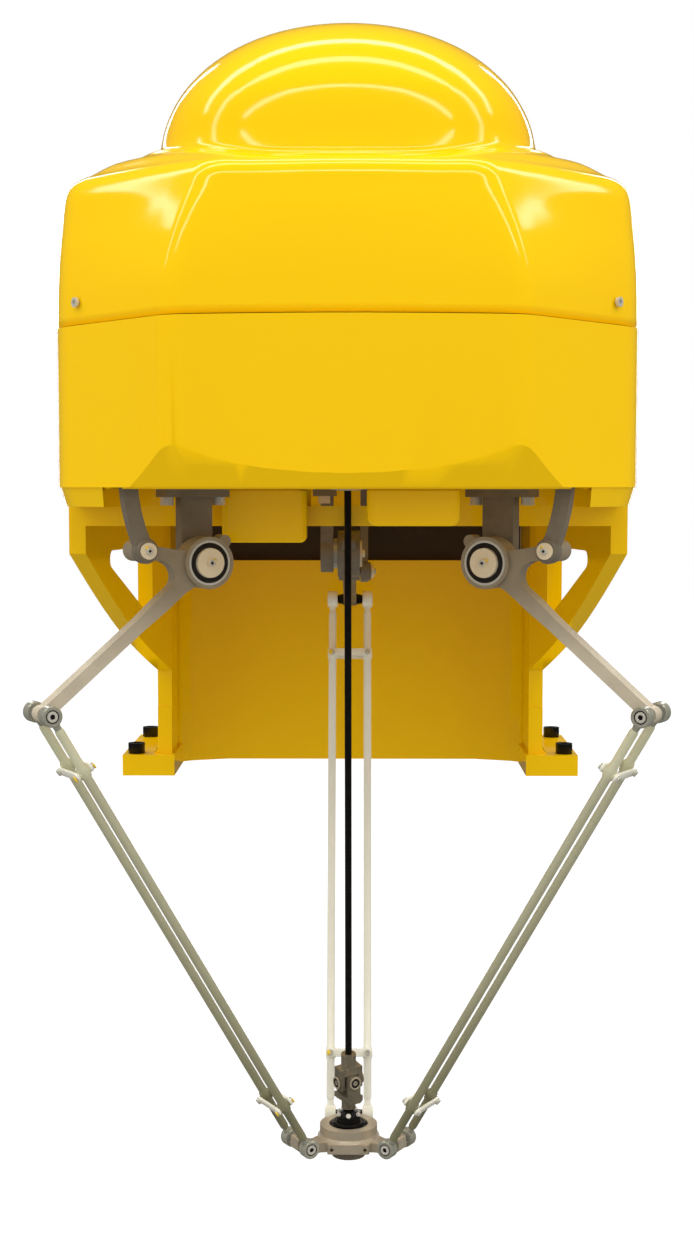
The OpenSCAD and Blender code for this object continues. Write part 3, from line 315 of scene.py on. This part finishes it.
def addMesh(name, vertices, edges, faces):
    mesh = bpy.data.meshes.new(name)
    mesh.from_pydata(vertices, edges, faces)
    return linkPiece(name, mesh)


def addBevel(piece, width, angle):
    bevel = piece.modifiers.new("edges", "BEVEL")
    bevel.width = width
    bevel.segments = bevelSegments
    bevel.limit_method = "ANGLE"
    bevel.angle_limit = math.radians(angle)


def standOn(piece, place, axis, spin=0):
    # turns the piece's own z to the axis and moves it to the place, within its mesh
    turn = Vector(axis).to_track_quat("Z", "Y").to_matrix().to_4x4()
    piece.data.transform(Matrix.Translation(place) @ turn @ Matrix.Rotation(spin, 4, "Z"))


def finishPiece(piece, material, body, replaced=()):
    # a finished piece keeps its place in its mesh, wears one material and rides on its body
    onlySelect(piece)
    bpy.ops.object.transform_apply(location=True, rotation=True, scale=True)
    piece.data.materials.clear()
    piece.data.materials.append(material)
    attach(piece, body)
    if replaced:
        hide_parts(*replaced)


def joinPieces(name, pieces, material, body, replaced=()):
    onlySelect(pieces[0])
    for piece in pieces:
        piece.select_set(True)
    if len(pieces) > 1:
        bpy.ops.object.join()
    joined = bpy.context.object
    joined.name = name
    joined.data.name = name
    finishPiece(joined, material, body, replaced)


robotAxis = Vector((0, jointOf["shaft_tilt"]["pos_m"][1], 0))  # the covers are mirror images about it

# in mm from the robot's axis and from the cover's rim
upperCover = {
    "creaseBack": 13, "sideFront": 103, "sideBack": 76, "rearCut": 69,
    "corner": (54, 10, 17, 17, 18), "cornerSteps": 6,  # rounding of the front and of each corner behind it
    "runs": (4, 6, 8, 4, 10),                          # parts of the run that follows each corner
    # side, front and back inset, height at the sides and at the front, share of round, crease
    "rows": [
        (0, 0, 0, 0, 0, 0, 101), (0.1, 1.2, 0.6, 22, 22, 0, 99.5), (1, 3.2, 1.4, 44, 44, 0, 94),
        (2.4, 5.4, 2.8, 61, 61, 0, 88), (4, 7.5, 4.6, 79, 71, 0, 82), (6, 9, 6.6, 85.5, 78.5, 0, 79),
        (9.5, 11.8, 10, 90.5, 84, 0.02, 77), (15, 17, 16, 94.4, 87.5, 0.05, 75.5),
        (26, 25, 28, 103, 88.8, 0.15, 74), (38, 37, 42, 108.2, 88.3, 0.5, 72),
        (48, 48, 56, 111.5, 86.5, 1, 70),
    ],
    "between": 4,                                      # rings from one row to the next
    "domeCrease": 100, "domeRadius": 121.5, "domeTop": 196.3, "domeSteps": 36,
    "domeRound": 0.92, "domeEnd": 87,                  # power of the dome's side, degrees at its last ring
    "domeFoot": (113, 86), "footFade": (4.5, 1.5),     # foot at sides and front, and how that evens out
    "footFillet": 7, "footSteps": 6, "footReach": 13, "firstStep": 3, "leadRings": 2,
    "lean": 0.15, "leanFade": (40, 130, 0.7),          # softness, then from and to which side it is lost
    "wall": 3, "smooth": 60,
}


def planPoints(width, front, back, crease, cover):
    # outline of the housing seen from above, a curve at each corner, long runs divided
    corners = [(0, -front), (crease, cover["creaseBack"] - front), (width, cover["sideFront"] - front),
               (width, back - cover["sideBack"]), (width - cover["rearCut"], back)]
    corners = [Vector(corner) for corner in corners]
    around = corners + [Vector((-c.x, c.y)) for c in reversed(corners[1:])]
    sizes = list(cover["corner"]) + list(reversed(cover["corner"][1:]))
    runs = list(cover["runs"]) + list(reversed(cover["runs"][:-1]))
    steps = cover["cornerSteps"]
    points = []
    for i, corner in enumerate(around):
        before, after = around[i - 1], around[(i + 1) % len(around)]
        start = corner + (before - corner).normalized() * sizes[i]
        end = corner + (after - corner).normalized() * sizes[i]
        for j in range(steps + 1):
            t = j / steps
            points.append(start * (1 - t) ** 2 + corner * (2 * t * (1 - t)) + end * t ** 2)
        nextStart = after + (corner - after).normalized() * sizes[(i + 1) % len(around)]
        for j in range(1, runs[i]):
            points.append(end.lerp(nextStart, j / runs[i]))
    return points


def leanShare(q, middle, front, cover):
    # 0 beside the dome and 1 at the front and the back, less towards the sides
    ease = cover["lean"]
    u = min(abs(q.y - middle) / (middle + front), 1)
    share = (math.hypot(u, ease) - ease) / (math.hypot(1, ease) - ease)
    inner, outer, loss = cover["leanFade"]
    t = min(max((abs(q.x) - inner) / (outer - inner), 0), 1)
    return share * (1 - loss * t * t * (3 - 2 * t))


def curveThrough(points, steps):
    # smooth curve through all points of one column, with even spacing between them
    before = [points[0] * 2 - points[1]] + points + [points[-1] * 2 - points[-2]]
    curve = []
    for i in range(1, len(before) - 2):
        a, b, c, d = before[i - 1:i + 3]
        t1 = max((b - a).length, 1e-6) ** 0.5
        t2 = t1 + max((c - b).length, 1e-6) ** 0.5
        t3 = t2 + max((d - c).length, 1e-6) ** 0.5
        for j in range(steps):
            t = t1 + (t2 - t1) * j / steps
            low = (a * (t1 - t) + b * t) / t1
            mid = (b * (t2 - t) + c * (t - t1)) / (t2 - t1)
            high = (c * (t3 - t) + d * (t - t2)) / (t3 - t2)
            left = (low * (t2 - t) + mid * t) / t2
            right = (mid * (t3 - t) + high * (t - t1)) / (t3 - t1)
            curve.append((left * (t2 - t) + right * (t - t1)) / (t2 - t1))
    return curve + [points[-1]]


def bodyRings(size, middle, cover):
    # rings from the rim up to the dome's foot, which turn from the plan into a circle
    halfWidth, front, back = size
    centre = Vector((0, middle))
    reach = cover["domeRadius"] + cover["footReach"]
    rings = []
    for side, frontIn, backIn, rise, frontRise, roundShare, crease in cover["rows"]:
        ring = []
        for p in planPoints(halfWidth - side, front - frontIn, back - backIn, crease, cover):
            q = p.lerp(centre + (p - centre).normalized() * reach, roundShare)
            lean = leanShare(q, middle, front, cover)
            ring.append(Vector((q.x, q.y, rise + (frontRise - rise) * lean)))
        rings.append(ring)
    return rings


def footRings(base, front, middle, cover):
    # hollow fillet round the dome's foot, which dips towards the front
    centre = Vector((0, middle))
    footSide, footFront = cover["domeFoot"]
    rings = []
    for step in range(cover["footSteps"]):
        angle = math.radians(90 * step / cover["footSteps"])
        radius = cover["domeRadius"] + cover["footFillet"] * (1 - math.sin(angle))
        ring = []
        for p in base:
            q = centre + (p - centre).normalized() * radius
            foot = footSide - (footSide - footFront) * leanShare(q, middle, front, cover)
            ring.append(Vector((q.x, q.y, foot + cover["footFillet"] * (1 - math.cos(angle)))))
        rings.append(ring)
    return rings


def domeRings(base, front, middle, cover):
    centre = Vector((0, middle))
    footSide, footFront = cover["domeFoot"]
    fadeRate, fadePower = cover["footFade"]
    rings = []
    for step in range(cover["firstStep"], cover["domeSteps"] + 1):
        share = step / cover["domeSteps"]
        angle = math.radians(cover["domeEnd"] * share)
        radius = cover["domeRadius"] * math.cos(angle) ** cover["domeRound"]
        sink = (footSide - footFront) * max(0, 1 - fadeRate * share) ** fadePower
        height = footSide + (cover["domeTop"] - footSide) * math.sin(angle)
        ring = []
        for p in base:
            q = centre + (p - centre).normalized() * radius
            ring.append(Vector((q.x, q.y, height - sink * leanShare(q, middle, front, cover))))
        rings.append(ring)
    return rings


def addUpperCover(cover):
    # one moulded shell: smooth columns through all rows of the body, then the fillet and the dome
    low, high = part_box("upper_cover")
    halfWidth = (high.x - low.x) / 2 / mm
    front = (robotAxis.y - low.y) / mm
    back = (high.y - robotAxis.y) / mm
    middle = (back - front) / 2
    base = planPoints(halfWidth, front, back, cover["domeCrease"], cover)
    count = len(base)
    rows = bodyRings((halfWidth, front, back), middle, cover)
    dome = footRings(base, front, middle, cover) + domeRings(base, front, middle, cover)
    guides = rows + dome[:cover["leadRings"]]
    columns = [curveThrough([ring[i] for ring in guides], cover["between"]) for i in range(count)]
    rings = [[column[k] for column in columns] for k in range(len(rows) * cover["between"])] + dome
    vertices = [(p.x * mm, p.y * mm + robotAxis.y, p.z * mm + low.z) for ring in rings for p in ring]
    faces = [(j * count + i, j * count + (i + 1) % count, (j + 1) * count + (i + 1) % count,
              (j + 1) * count + i) for j in range(len(rings) - 1) for i in range(count)]
    faces.append(tuple(range((len(rings) - 1) * count, len(rings) * count)))
    piece = addMesh("upper_cover_finished", vertices, [], faces)
    shadeSmooth(cover["smooth"])
    wall = piece.modifiers.new("wall", "SOLIDIFY")
    wall.thickness = cover["wall"] * mm
    wall.offset = -1
    applyModifiers(piece)
    finishPiece(piece, yellowPaint, bodyOf["upper_cover"], ["upper_cover"])


addUpperCover(upperCover)
print("upper cover made")

softening = {"flat": 0.6, "sharp": 32}  # degrees up to which faces are one, and from which an edge is sharp
# width of each node's rounded edges, in mm
softNodes = {
    "stand": 2.2, "deck": 1.2, "lower_cover": 0.9, "left_underside_cover": 1, "right_underside_cover": 1,
    "shoulder_brackets": 0.6, "platform": 0.5, "gimbal_bracket": 0.5,
    "left_arm": 0.7, "right_arm": 0.7, "rear_arm": 0.7,
    "left_drive_link": 0.6, "right_drive_link": 0.6, "rear_drive_link": 0.6,
    "upper_yoke": 0.4, "lower_yoke": 0.4, "tool_flange": 0.4, "ball_flange": 0.2,
}


def mergedCopy(name):
    # the node's own shape with its triangles joined, left in edit mode
    piece = linkPiece(name + "_finished", nodes[name].data.copy())
    bpy.ops.object.mode_set(mode="EDIT")
    bpy.ops.mesh.select_all(action="SELECT")
    bpy.ops.mesh.remove_doubles(threshold=mergeDistance)
    return piece


def softenedCopy(name, edgeWidth):
    # the node's own shape with its sharp edges rounded, in place of the node
    piece = mergedCopy(name)
    bpy.ops.mesh.dissolve_limited(angle_limit=math.radians(softening["flat"]))
    bpy.ops.object.mode_set(mode="OBJECT")
    shadeSmooth(softening["sharp"])
    addBevel(piece, edgeWidth * mm, softening["sharp"])
    weighted = piece.modifiers.new("normals", "WEIGHTED_NORMAL")
    weighted.keep_sharp = True
    applyModifiers(piece)
    finishPiece(piece, finishOf(name), bodyOf[name], [name])


for name, width in softNodes.items():
    softenedCopy(name, width)
print("softened nodes:", len(softNodes))

# turned details: radii, and how far from the joint's centre they begin and end, in mm
detail = {
    "seal": {"inner": 9.25, "outer": 12.3, "from": 6.9, "to": 7.45},
    "raceRing": {"inner": 12.35, "outer": 13.9, "from": 6.9, "to": 7.6},
    "eyeSeal": {"inner": 3.3, "outer": 4.02, "from": 16.4, "to": 17.0},
    "pinEnd": {"inner": 1.55, "outer": 3.2, "from": 16.0, "to": 17.35},
    "screwHead": {"inner": 0.95, "outer": 2.1, "from": 0, "to": 1.5},
    "linkScrew": {"inner": 0.6, "outer": 2.1, "from": -0.2, "to": 1.5},
    "screwRecess": {"inner": 0.05, "outer": 0.95, "from": 0, "to": 0.7},
    "capRing": {"inner": 3.3, "outer": 4.4, "from": 9.3, "to": 10.1},
    "capSeal": {"inner": 1.7, "outer": 3.25, "from": 9.3, "to": 9.95},
    "capCentre": {"inner": 0.7, "outer": 1.65, "from": 9.3, "to": 9.75},
}
turned = {"steps": 40, "smallSteps": 24, "merge": 0.01, "smooth": 35, "chamfer": 0.15}


def addLathe(points, place, axis, steps=turned["steps"]):
    # ring or cap turned from points given as (radius, height) in mm along the axis
    outline = [(radius * mm, 0, height * mm) for radius, height in points]
    piece = addMesh("turned", outline, [(i, i + 1) for i in range(len(points) - 1)], [])
    screw = piece.modifiers.new("turn", "SCREW")
    screw.steps = steps
    screw.render_steps = steps
    screw.use_merge_vertices = True
    screw.merge_threshold = turned["merge"] * mm
    screw.use_normal_calculate = True
    applyModifiers(piece)
    shadeSmooth(turned["smooth"])
    standOn(piece, place, axis)
    return piece


def addRing(size, place, axis):
    # flat ring with its two outer edges chamfered
    inner, outer, low, high = size["inner"], size["outer"], size["from"], size["to"]
    chamfer = min(turned["chamfer"], (high - low) / 3, (outer - inner) / 4)
    return addLathe([(inner, low), (inner, high - chamfer), (inner + chamfer, high),
                     (outer - chamfer, high), (outer, high - chamfer), (outer, low), (inner, low)],
                    place, axis)


# dabs of paint: size and place beside the screw in mm; only two arms have them on the links
brush = {"uneven": 0.22, "flatness": 0.6, "waves": (3.1, 2.7), "drift": 2.3, "spin": 1.3}
marks = {
    "shaft": {"size": (1.3, 0.9, 0.5), "across": 2.6, "up": 1.5, "seed": 1},
    "pin": {"size": (1.6, 1.1, 0.5), "across": -1.3, "up": 2.0, "seed": 2},
    "link": {"size": (2.3, 1.7, 1.3), "outward": 1.2, "height": 7, "seed": 3,
             "hand": {"left": 1, "rear": -1}},
}


def addDab(size, place, axis, seed):
    # a brushed mark of paint: a small flattened drop, no two quite alike
    bpy.ops.mesh.primitive_ico_sphere_add(subdivisions=2, radius=1)
    piece = bpy.context.object
    waveX, waveY = brush["waves"]
    for vertex in piece.data.vertices:
        x, y, z = vertex.co
        wave = math.sin(seed * brush["drift"] + x * waveX) * math.cos(seed + y * waveY)
        wobble = 1 + brush["uneven"] * wave
        vertex.co = Vector((x * size[0] * wobble, y * size[1] * wobble, z * size[2] * brush["flatness"])) * mm
    bpy.ops.object.shade_smooth()
    standOn(piece, place, axis, seed * brush["spin"])
    return piece


forearm = {
    "half": 13.35, "linkPlace": 43,  # from the middle to a rod, and from a rod's end to a cross link
    # radius and distance from the eye's centre, up to the middle of the rod
    "rod": [(2.1, 9.6), (2.7, 11), (2.85, 12.4), (2.85, 38.4), (3.6, 39.6), (3.6, 46.4), (2.85, 47.6)],
    "neck": [(2.9, 4.4), (2.4, 7), (2.1, 10)],
    "eye": [(4.12, -3.8), (4.12, 3.8), (5.6, 3.8), (6.3, 3.1), (6.3, -3.1), (5.6, -3.8), (4.12, -3.8)],
    "boss": [(0, 2), (2.5, 2), (2.5, 4.12)],
    "barFrom": 4.12, "barTo": 5.9, "barEnd": 2.9, "barSteps": 12, "barEdge": 0.3, "barSharp": 50,
}
armHand = {"left": 1, "right": -1, "rear": -1}  # which side of each arm has the caps
capHeight = {"shaft": 9.9, "pin": 17.7}         # from the middle of the arm to each cap's face


def armLayout(side):
    # joints and directions of one arm: cap to its capped side, way down the forearm
    shoulder, elbow, linkPin = (Vector(jointOf[side + joint]["pos_m"])
                                for joint in ("_shoulder", "_elbow", "_link_hinge"))
    low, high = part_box(side + "_lower_pins")
    lowerAxis = (low + high) / 2
    outward = Vector((elbow.x - shoulder.x, elbow.y - shoulder.y, 0)).normalized()
    cap = armHand[side] * Vector((-outward.y, outward.x, 0))
    way = (lowerAxis - elbow).normalized()
    length = (lowerAxis - elbow).length / mm
    return {
        "shoulder": shoulder, "elbow": elbow, "linkPin": linkPin, "lowerAxis": lowerAxis,
        "cap": cap, "way": way, "thick": cap.cross(way).normalized(), "length": length,
        "links": (forearm["linkPlace"], length - forearm["linkPlace"]),
    }


# joined piece, detail and joint of the turned details on both sides of an arm
turnedPlaces = [
    ("lower_seals", "eyeSeal", "lowerAxis"), ("lower_pin_ends", "pinEnd", "lowerAxis"),
    ("seals", "seal", "shoulder"), ("race_rings", "raceRing", "shoulder"),
    ("seals", "eyeSeal", "elbow"), ("pin_ends", "pinEnd", "elbow"),
]


def addSealsAndPins(side, arm):
    # seals, bearing rings and pin ends at the shoulder, the elbow and the platform
    parts = {name: [] for name in ("seals", "race_rings", "pin_ends", "lower_seals", "lower_pin_ends")}
    for way in (1, -1):
        axis = arm["cap"] * way
        for name, kind, joint in turnedPlaces:
            parts[name].append(addRing(detail[kind], arm[joint], axis))
    armBody, forearmBody = bodyOf[side + "_arm"], bodyOf[side + "_rods"]
    joinPieces(side + "_seals", parts["seals"], sealRubber, armBody)
    joinPieces(side + "_race_rings", parts["race_rings"], brightSteel, armBody)
    joinPieces(side + "_pin_ends", parts["pin_ends"], brightSteel, armBody)
    joinPieces(side + "_lower_seals", parts["lower_seals"], sealRubber, forearmBody)
    joinPieces(side + "_lower_pin_ends", parts["lower_pin_ends"], brightSteel, forearmBody)


def addBar(centre, along, wide, thick):
    # flat bar with round ends over the bosses of both rods
    turn = [math.radians(-90 + 180 * i / forearm["barSteps"]) for i in range(forearm["barSteps"] + 1)]
    end = forearm["barEnd"]
    outline = [(forearm["half"] + end * math.cos(a), end * math.sin(a)) for a in turn]
    outline += [(-x, -y) for x, y in outline]
    count = len(outline)
    vertices = [centre + (along * x + wide * y + thick * level) * mm
                for level in (forearm["barFrom"], forearm["barTo"]) for x, y in outline]
    faces = [(i, (i + 1) % count, count + (i + 1) % count, count + i) for i in range(count)]
    faces += [tuple(reversed(range(count))), tuple(range(count, 2 * count))]
    piece = addMesh("bar", vertices, [], faces)
    bpy.ops.object.mode_set(mode="EDIT")
    bpy.ops.mesh.select_all(action="SELECT")
    bpy.ops.mesh.normals_make_consistent(inside=False)
    bpy.ops.object.mode_set(mode="OBJECT")
    addBevel(piece, forearm["barEdge"] * mm, forearm["barSharp"])
    applyModifiers(piece)
    shadeSmooth(turned["smooth"])
    return piece


def addForearm(side, arm):
    # two rods, their ends with eyes, the bars on both sides that keep them apart, and the bars' screws
    elbow, cap, way, thick = arm["elbow"], arm["cap"], arm["way"], arm["thick"]
    down = forearm["rod"]
    profile = down + [(radius, arm["length"] - height) for radius, height in reversed(down)]
    rods, ends, heads = [], [], []
    for hand in (1, -1):
        start = elbow + cap * hand * forearm["half"] * mm
        rods.append(addLathe(profile, start, way))
        for end, inward in ((start, way), (start + way * arm["length"] * mm, -way)):
            ends.append(addLathe(forearm["eye"], end, cap))
            ends.append(addLathe(forearm["neck"], end, inward, turned["smallSteps"]))
        for place, face in product(arm["links"], (1, -1)):
            seat = start + way * place * mm
            head = seat + thick * face * forearm["barTo"] * mm
            rods.append(addLathe(forearm["boss"], seat, thick * face, turned["smallSteps"]))
            heads.append(addRing(detail["linkScrew"], head, thick * face))
    bars = [addBar(elbow + way * place * mm, cap, way, thick * face)
            for place, face in product(arm["links"], (1, -1))]
    rodNode, linkNode = side + "_rods", side + "_cross_links"
    body, rodSlot, linkSlot = bodyOf[rodNode], nodeSlot[rodNode], nodeSlot[linkNode]
    joinPieces(side + "_rods_finished", rods, finishOf(rodNode), body, [rodNode])
    joinPieces(side + "_rod_ends", ends, paleRod if side == "rear" else endNickel, body)
    joinPieces(side + "_cross_links_finished", bars, paleRod, body, [linkNode])
    joinPieces(side + "_link_screws", heads, brightSteel, body)


def addScrewsAndMarks(side, arm):
    # the screw in the shoulder's cap and the one in the link pin's cap, each with its dab
    cap = arm["cap"]
    up = Vector((0, 0, 1))
    across = up.cross(cap)
    shaftFace = arm["shoulder"] + cap * capHeight["shaft"] * mm
    pinFace = arm["linkPin"] + cap * capHeight["pin"] * mm
    caps = [("shaft", shaftFace, bodyOf["shaft_caps"]), ("pin", pinFace, bodyOf[side + "_link_pin"])]
    heads = [addRing(detail["screwHead"], face, cap) for kind, face, body in caps]
    recesses = [addRing(detail["screwRecess"], face, cap) for kind, face, body in caps]
    for (kind, face, body), head, recess in zip(caps, heads, recesses):
        joinPieces(side + "_" + kind + "_screw", [head], brightSteel, body)
        joinPieces(side + "_" + kind + "_recess", [recess], sealRubber, body)
    for kind, face, body in caps:
        mark = marks[kind]
        place = face + (across * mark["across"] + up * mark["up"]) * mm
        dab = addDab(mark["size"], place, cap, mark["seed"])
        joinPieces(side + "_" + kind + "_mark", [dab], markPaint, body)


def addLinkMarks(side, arm):
    # dabs beside the link screws of one rod
    mark = marks["link"]
    hand = mark["hand"][side]
    cap, thick = arm["cap"], arm["thick"]
    dabs = []
    for number, (place, face) in enumerate(product(arm["links"], (1, -1))):
        head = (arm["elbow"] + arm["way"] * place * mm
                + (cap * forearm["half"] * hand + thick * face * mark["height"]) * mm)
        beside = head + cap * hand * mark["outward"] * mm
        dabs.append(addDab(mark["size"], beside, thick * face, mark["seed"] + number))
    joinPieces(side + "_link_marks", dabs, markPaint, bodyOf[side + "_rods"])


for side in armHand:
    arm = armLayout(side)
    addSealsAndPins(side, arm)
    addForearm(side, arm)
    addScrewsAndMarks(side, arm)
    if side in marks["link"]["hand"]:
        addLinkMarks(side, arm)
print("forearms and arm details made")

yokeTurn = math.radians(30)  # the forks of the wrist's joint stand this far round at rest


def addJointCaps(lean):
    # bearing caps on the two forks of the wrist's joint; the upper one leans with the shaft
    low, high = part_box("joint_cross")
    centre = (low + high) / 2
    across = Vector((math.cos(yokeTurn), math.sin(yokeTurn), 0))
    along = Vector((-math.sin(yokeTurn), math.cos(yokeTurn), 0))
    for name, axis in (("lower", along), ("upper", Matrix.Rotation(lean, 3, "X") @ across)):
        rings, seals = [], []
        for way in (1, -1):
            rings.append(addRing(detail["capRing"], centre, axis * way))
            rings.append(addRing(detail["capCentre"], centre, axis * way))
            seals.append(addRing(detail["capSeal"], centre, axis * way))
        body = bodyOf[name + "_yoke"]
        joinPieces(name + "_cap_rings", rings, platformSteel, body)
        joinPieces(name + "_cap_seals", seals, sealRubber, body)


shaftAxis = Vector(jointOf["wrist_turn"]["axis"])
addJointCaps(math.atan2(-shaftAxis.y, shaftAxis.z))
print("wrist joint caps made")

footBolt = {"cutHeight": 0.2, "smooth": 30}  # mm above the feet's undersides, and degrees


def addFootBolts():
    # the bolts as they show above the feet
    piece = mergedCopy("foot_bolts")
    bpy.ops.mesh.bisect(plane_co=(0, 0, footBolt["cutHeight"] * mm), plane_no=(0, 0, 1),
                        use_fill=True, clear_inner=True)
    bpy.ops.object.mode_set(mode="OBJECT")
    shadeSmooth(footBolt["smooth"])
    finishPiece(piece, blackSteel, bodyOf["foot_bolts"], ["foot_bolts"])


addFootBolts()
print("foot bolts made")

for name, piece in nodes.items():
    piece.data.materials.clear()
    piece.data.materials.append(finishOf(name))
print("node finishes set")

# share: how much of the floor's look is its glow; seen, bounce and mirrored: its tone for each kind of ray
floorSetting = {"drop": 0.048, "size": 14.0, "roughness": 0.9, "glow": 1.08, "share": 0.76,
                "seen": 0.9, "bounce": 0.36, "mirrored": 0.05}
worldSetting = {"fill": 1.12, "mirrored": 0.1, "seen": 1.0}


def addSwitch(tree, ray, off, on):
    # the value on for rays of this kind, and off for the others; off may come from another switch
    switch = tree.nodes.new("ShaderNodeMapRange")
    if isinstance(off, bpy.types.NodeSocket):
        tree.links.new(off, switch.inputs["To Min"])
    else:
        switch.inputs["To Min"].default_value = off
    switch.inputs["To Max"].default_value = on
    tree.links.new(ray, switch.inputs["Value"])
    return switch.outputs["Result"]


def addSeenDirectly(tree, rays):
    # 1 for what the camera sees, also through glass
    larger = tree.nodes.new("ShaderNodeMath")
    larger.operation = "MAXIMUM"
    tree.links.new(rays.outputs["Is Camera Ray"], larger.inputs[0])
    tree.links.new(rays.outputs["Is Transmission Ray"], larger.inputs[1])
    return larger.outputs[0]


def addFloor(setting):
    # pale floor that keeps the robot's shadow, dimmer where things mirror it
    below = cadBox[0][2] - setting["drop"]
    bpy.ops.mesh.primitive_plane_add(size=setting["size"], location=(0, 0, below))
    floor = bpy.context.object
    floor.name = "floor"
    material, tree, shader = newMaterial("floorWhite")
    shader.inputs["Roughness"].default_value = setting["roughness"]
    rays = tree.nodes.new("ShaderNodeLightPath")
    unseen = addSwitch(tree, rays.outputs["Is Glossy Ray"], setting["bounce"], setting["mirrored"])
    tone = addSwitch(tree, rays.outputs["Is Camera Ray"], unseen, setting["seen"])
    tree.links.new(tone, shader.inputs["Base Color"])
    glow = tree.nodes.new("ShaderNodeEmission")
    glow.inputs["Strength"].default_value = setting["glow"]
    share = tree.nodes.new("ShaderNodeMath")
    share.operation = "MULTIPLY"
    share.inputs[1].default_value = setting["share"]
    mix = tree.nodes.new("ShaderNodeMixShader")
    tree.links.new(addSeenDirectly(tree, rays), share.inputs[0])
    tree.links.new(share.outputs[0], mix.inputs["Fac"])
    tree.links.new(shader.outputs["BSDF"], mix.inputs[1])
    tree.links.new(glow.outputs["Emission"], mix.inputs[2])
    tree.links.new(mix.outputs["Shader"], tree.nodes["Material Output"].inputs["Surface"])
    floor.data.materials.append(material)


def setWorld(setting):
    # white where the camera looks, a soft fill for surfaces, dimmer where things mirror it
    world = bpy.data.worlds.new("studio")
    bpy.context.scene.world = world
    world.use_nodes = True
    tree = world.node_tree
    background = tree.nodes["Background"]
    background.inputs["Color"].default_value = (1, 1, 1, 1)
    rays = tree.nodes.new("ShaderNodeLightPath")
    fill = addSwitch(tree, rays.outputs["Is Glossy Ray"], setting["fill"], setting["mirrored"])
    level = addSwitch(tree, addSeenDirectly(tree, rays), fill, setting["seen"])
    tree.links.new(level, background.inputs["Strength"])


addFloor(floorSetting)
setWorld(worldSetting)
print("floor and world made")

# places and sizes in metres, power in watts; all lamps are aimed at the robot's middle
lampTarget = (0, -0.25, 0.2)
lamps = {
    "stripNear": {"place": (0, -2.3, 2.88), "size": (9.6, 0.26), "power": 44},
    "stripMiddle": {"place": (0, -0.33, 2.88), "size": (13, 0.26), "power": 46},
    "stripFar": {"place": (0, 0.84, 2.88), "size": (9.5, 0.26), "power": 36},
    "rimLeft": {"place": (-1.02, 2.0, 0.75), "size": (0.14, 2.2), "power": 7},
    "rimRight": {"place": (1.02, 2.0, 0.75), "size": (0.14, 2.2), "power": 7},
}


def addLamp(name, lamp):
    data = bpy.data.lights.new(name, "AREA")
    data.shape = "RECTANGLE"
    data.size, data.size_y = lamp["size"]
    data.energy = lamp["power"]
    lampObject = bpy.data.objects.new(name, data)
    bpy.context.scene.collection.objects.link(lampObject)
    lampObject.location = lamp["place"]
    aim = Vector(lampTarget) - Vector(lamp["place"])
    lampObject.rotation_euler = aim.to_track_quat("-Z", "Y").to_euler()


for name, lamp in lamps.items():
    addLamp(name, lamp)
print("lamps set:", len(lamps))

bpy.context.scene.view_settings.view_transform = "Standard"
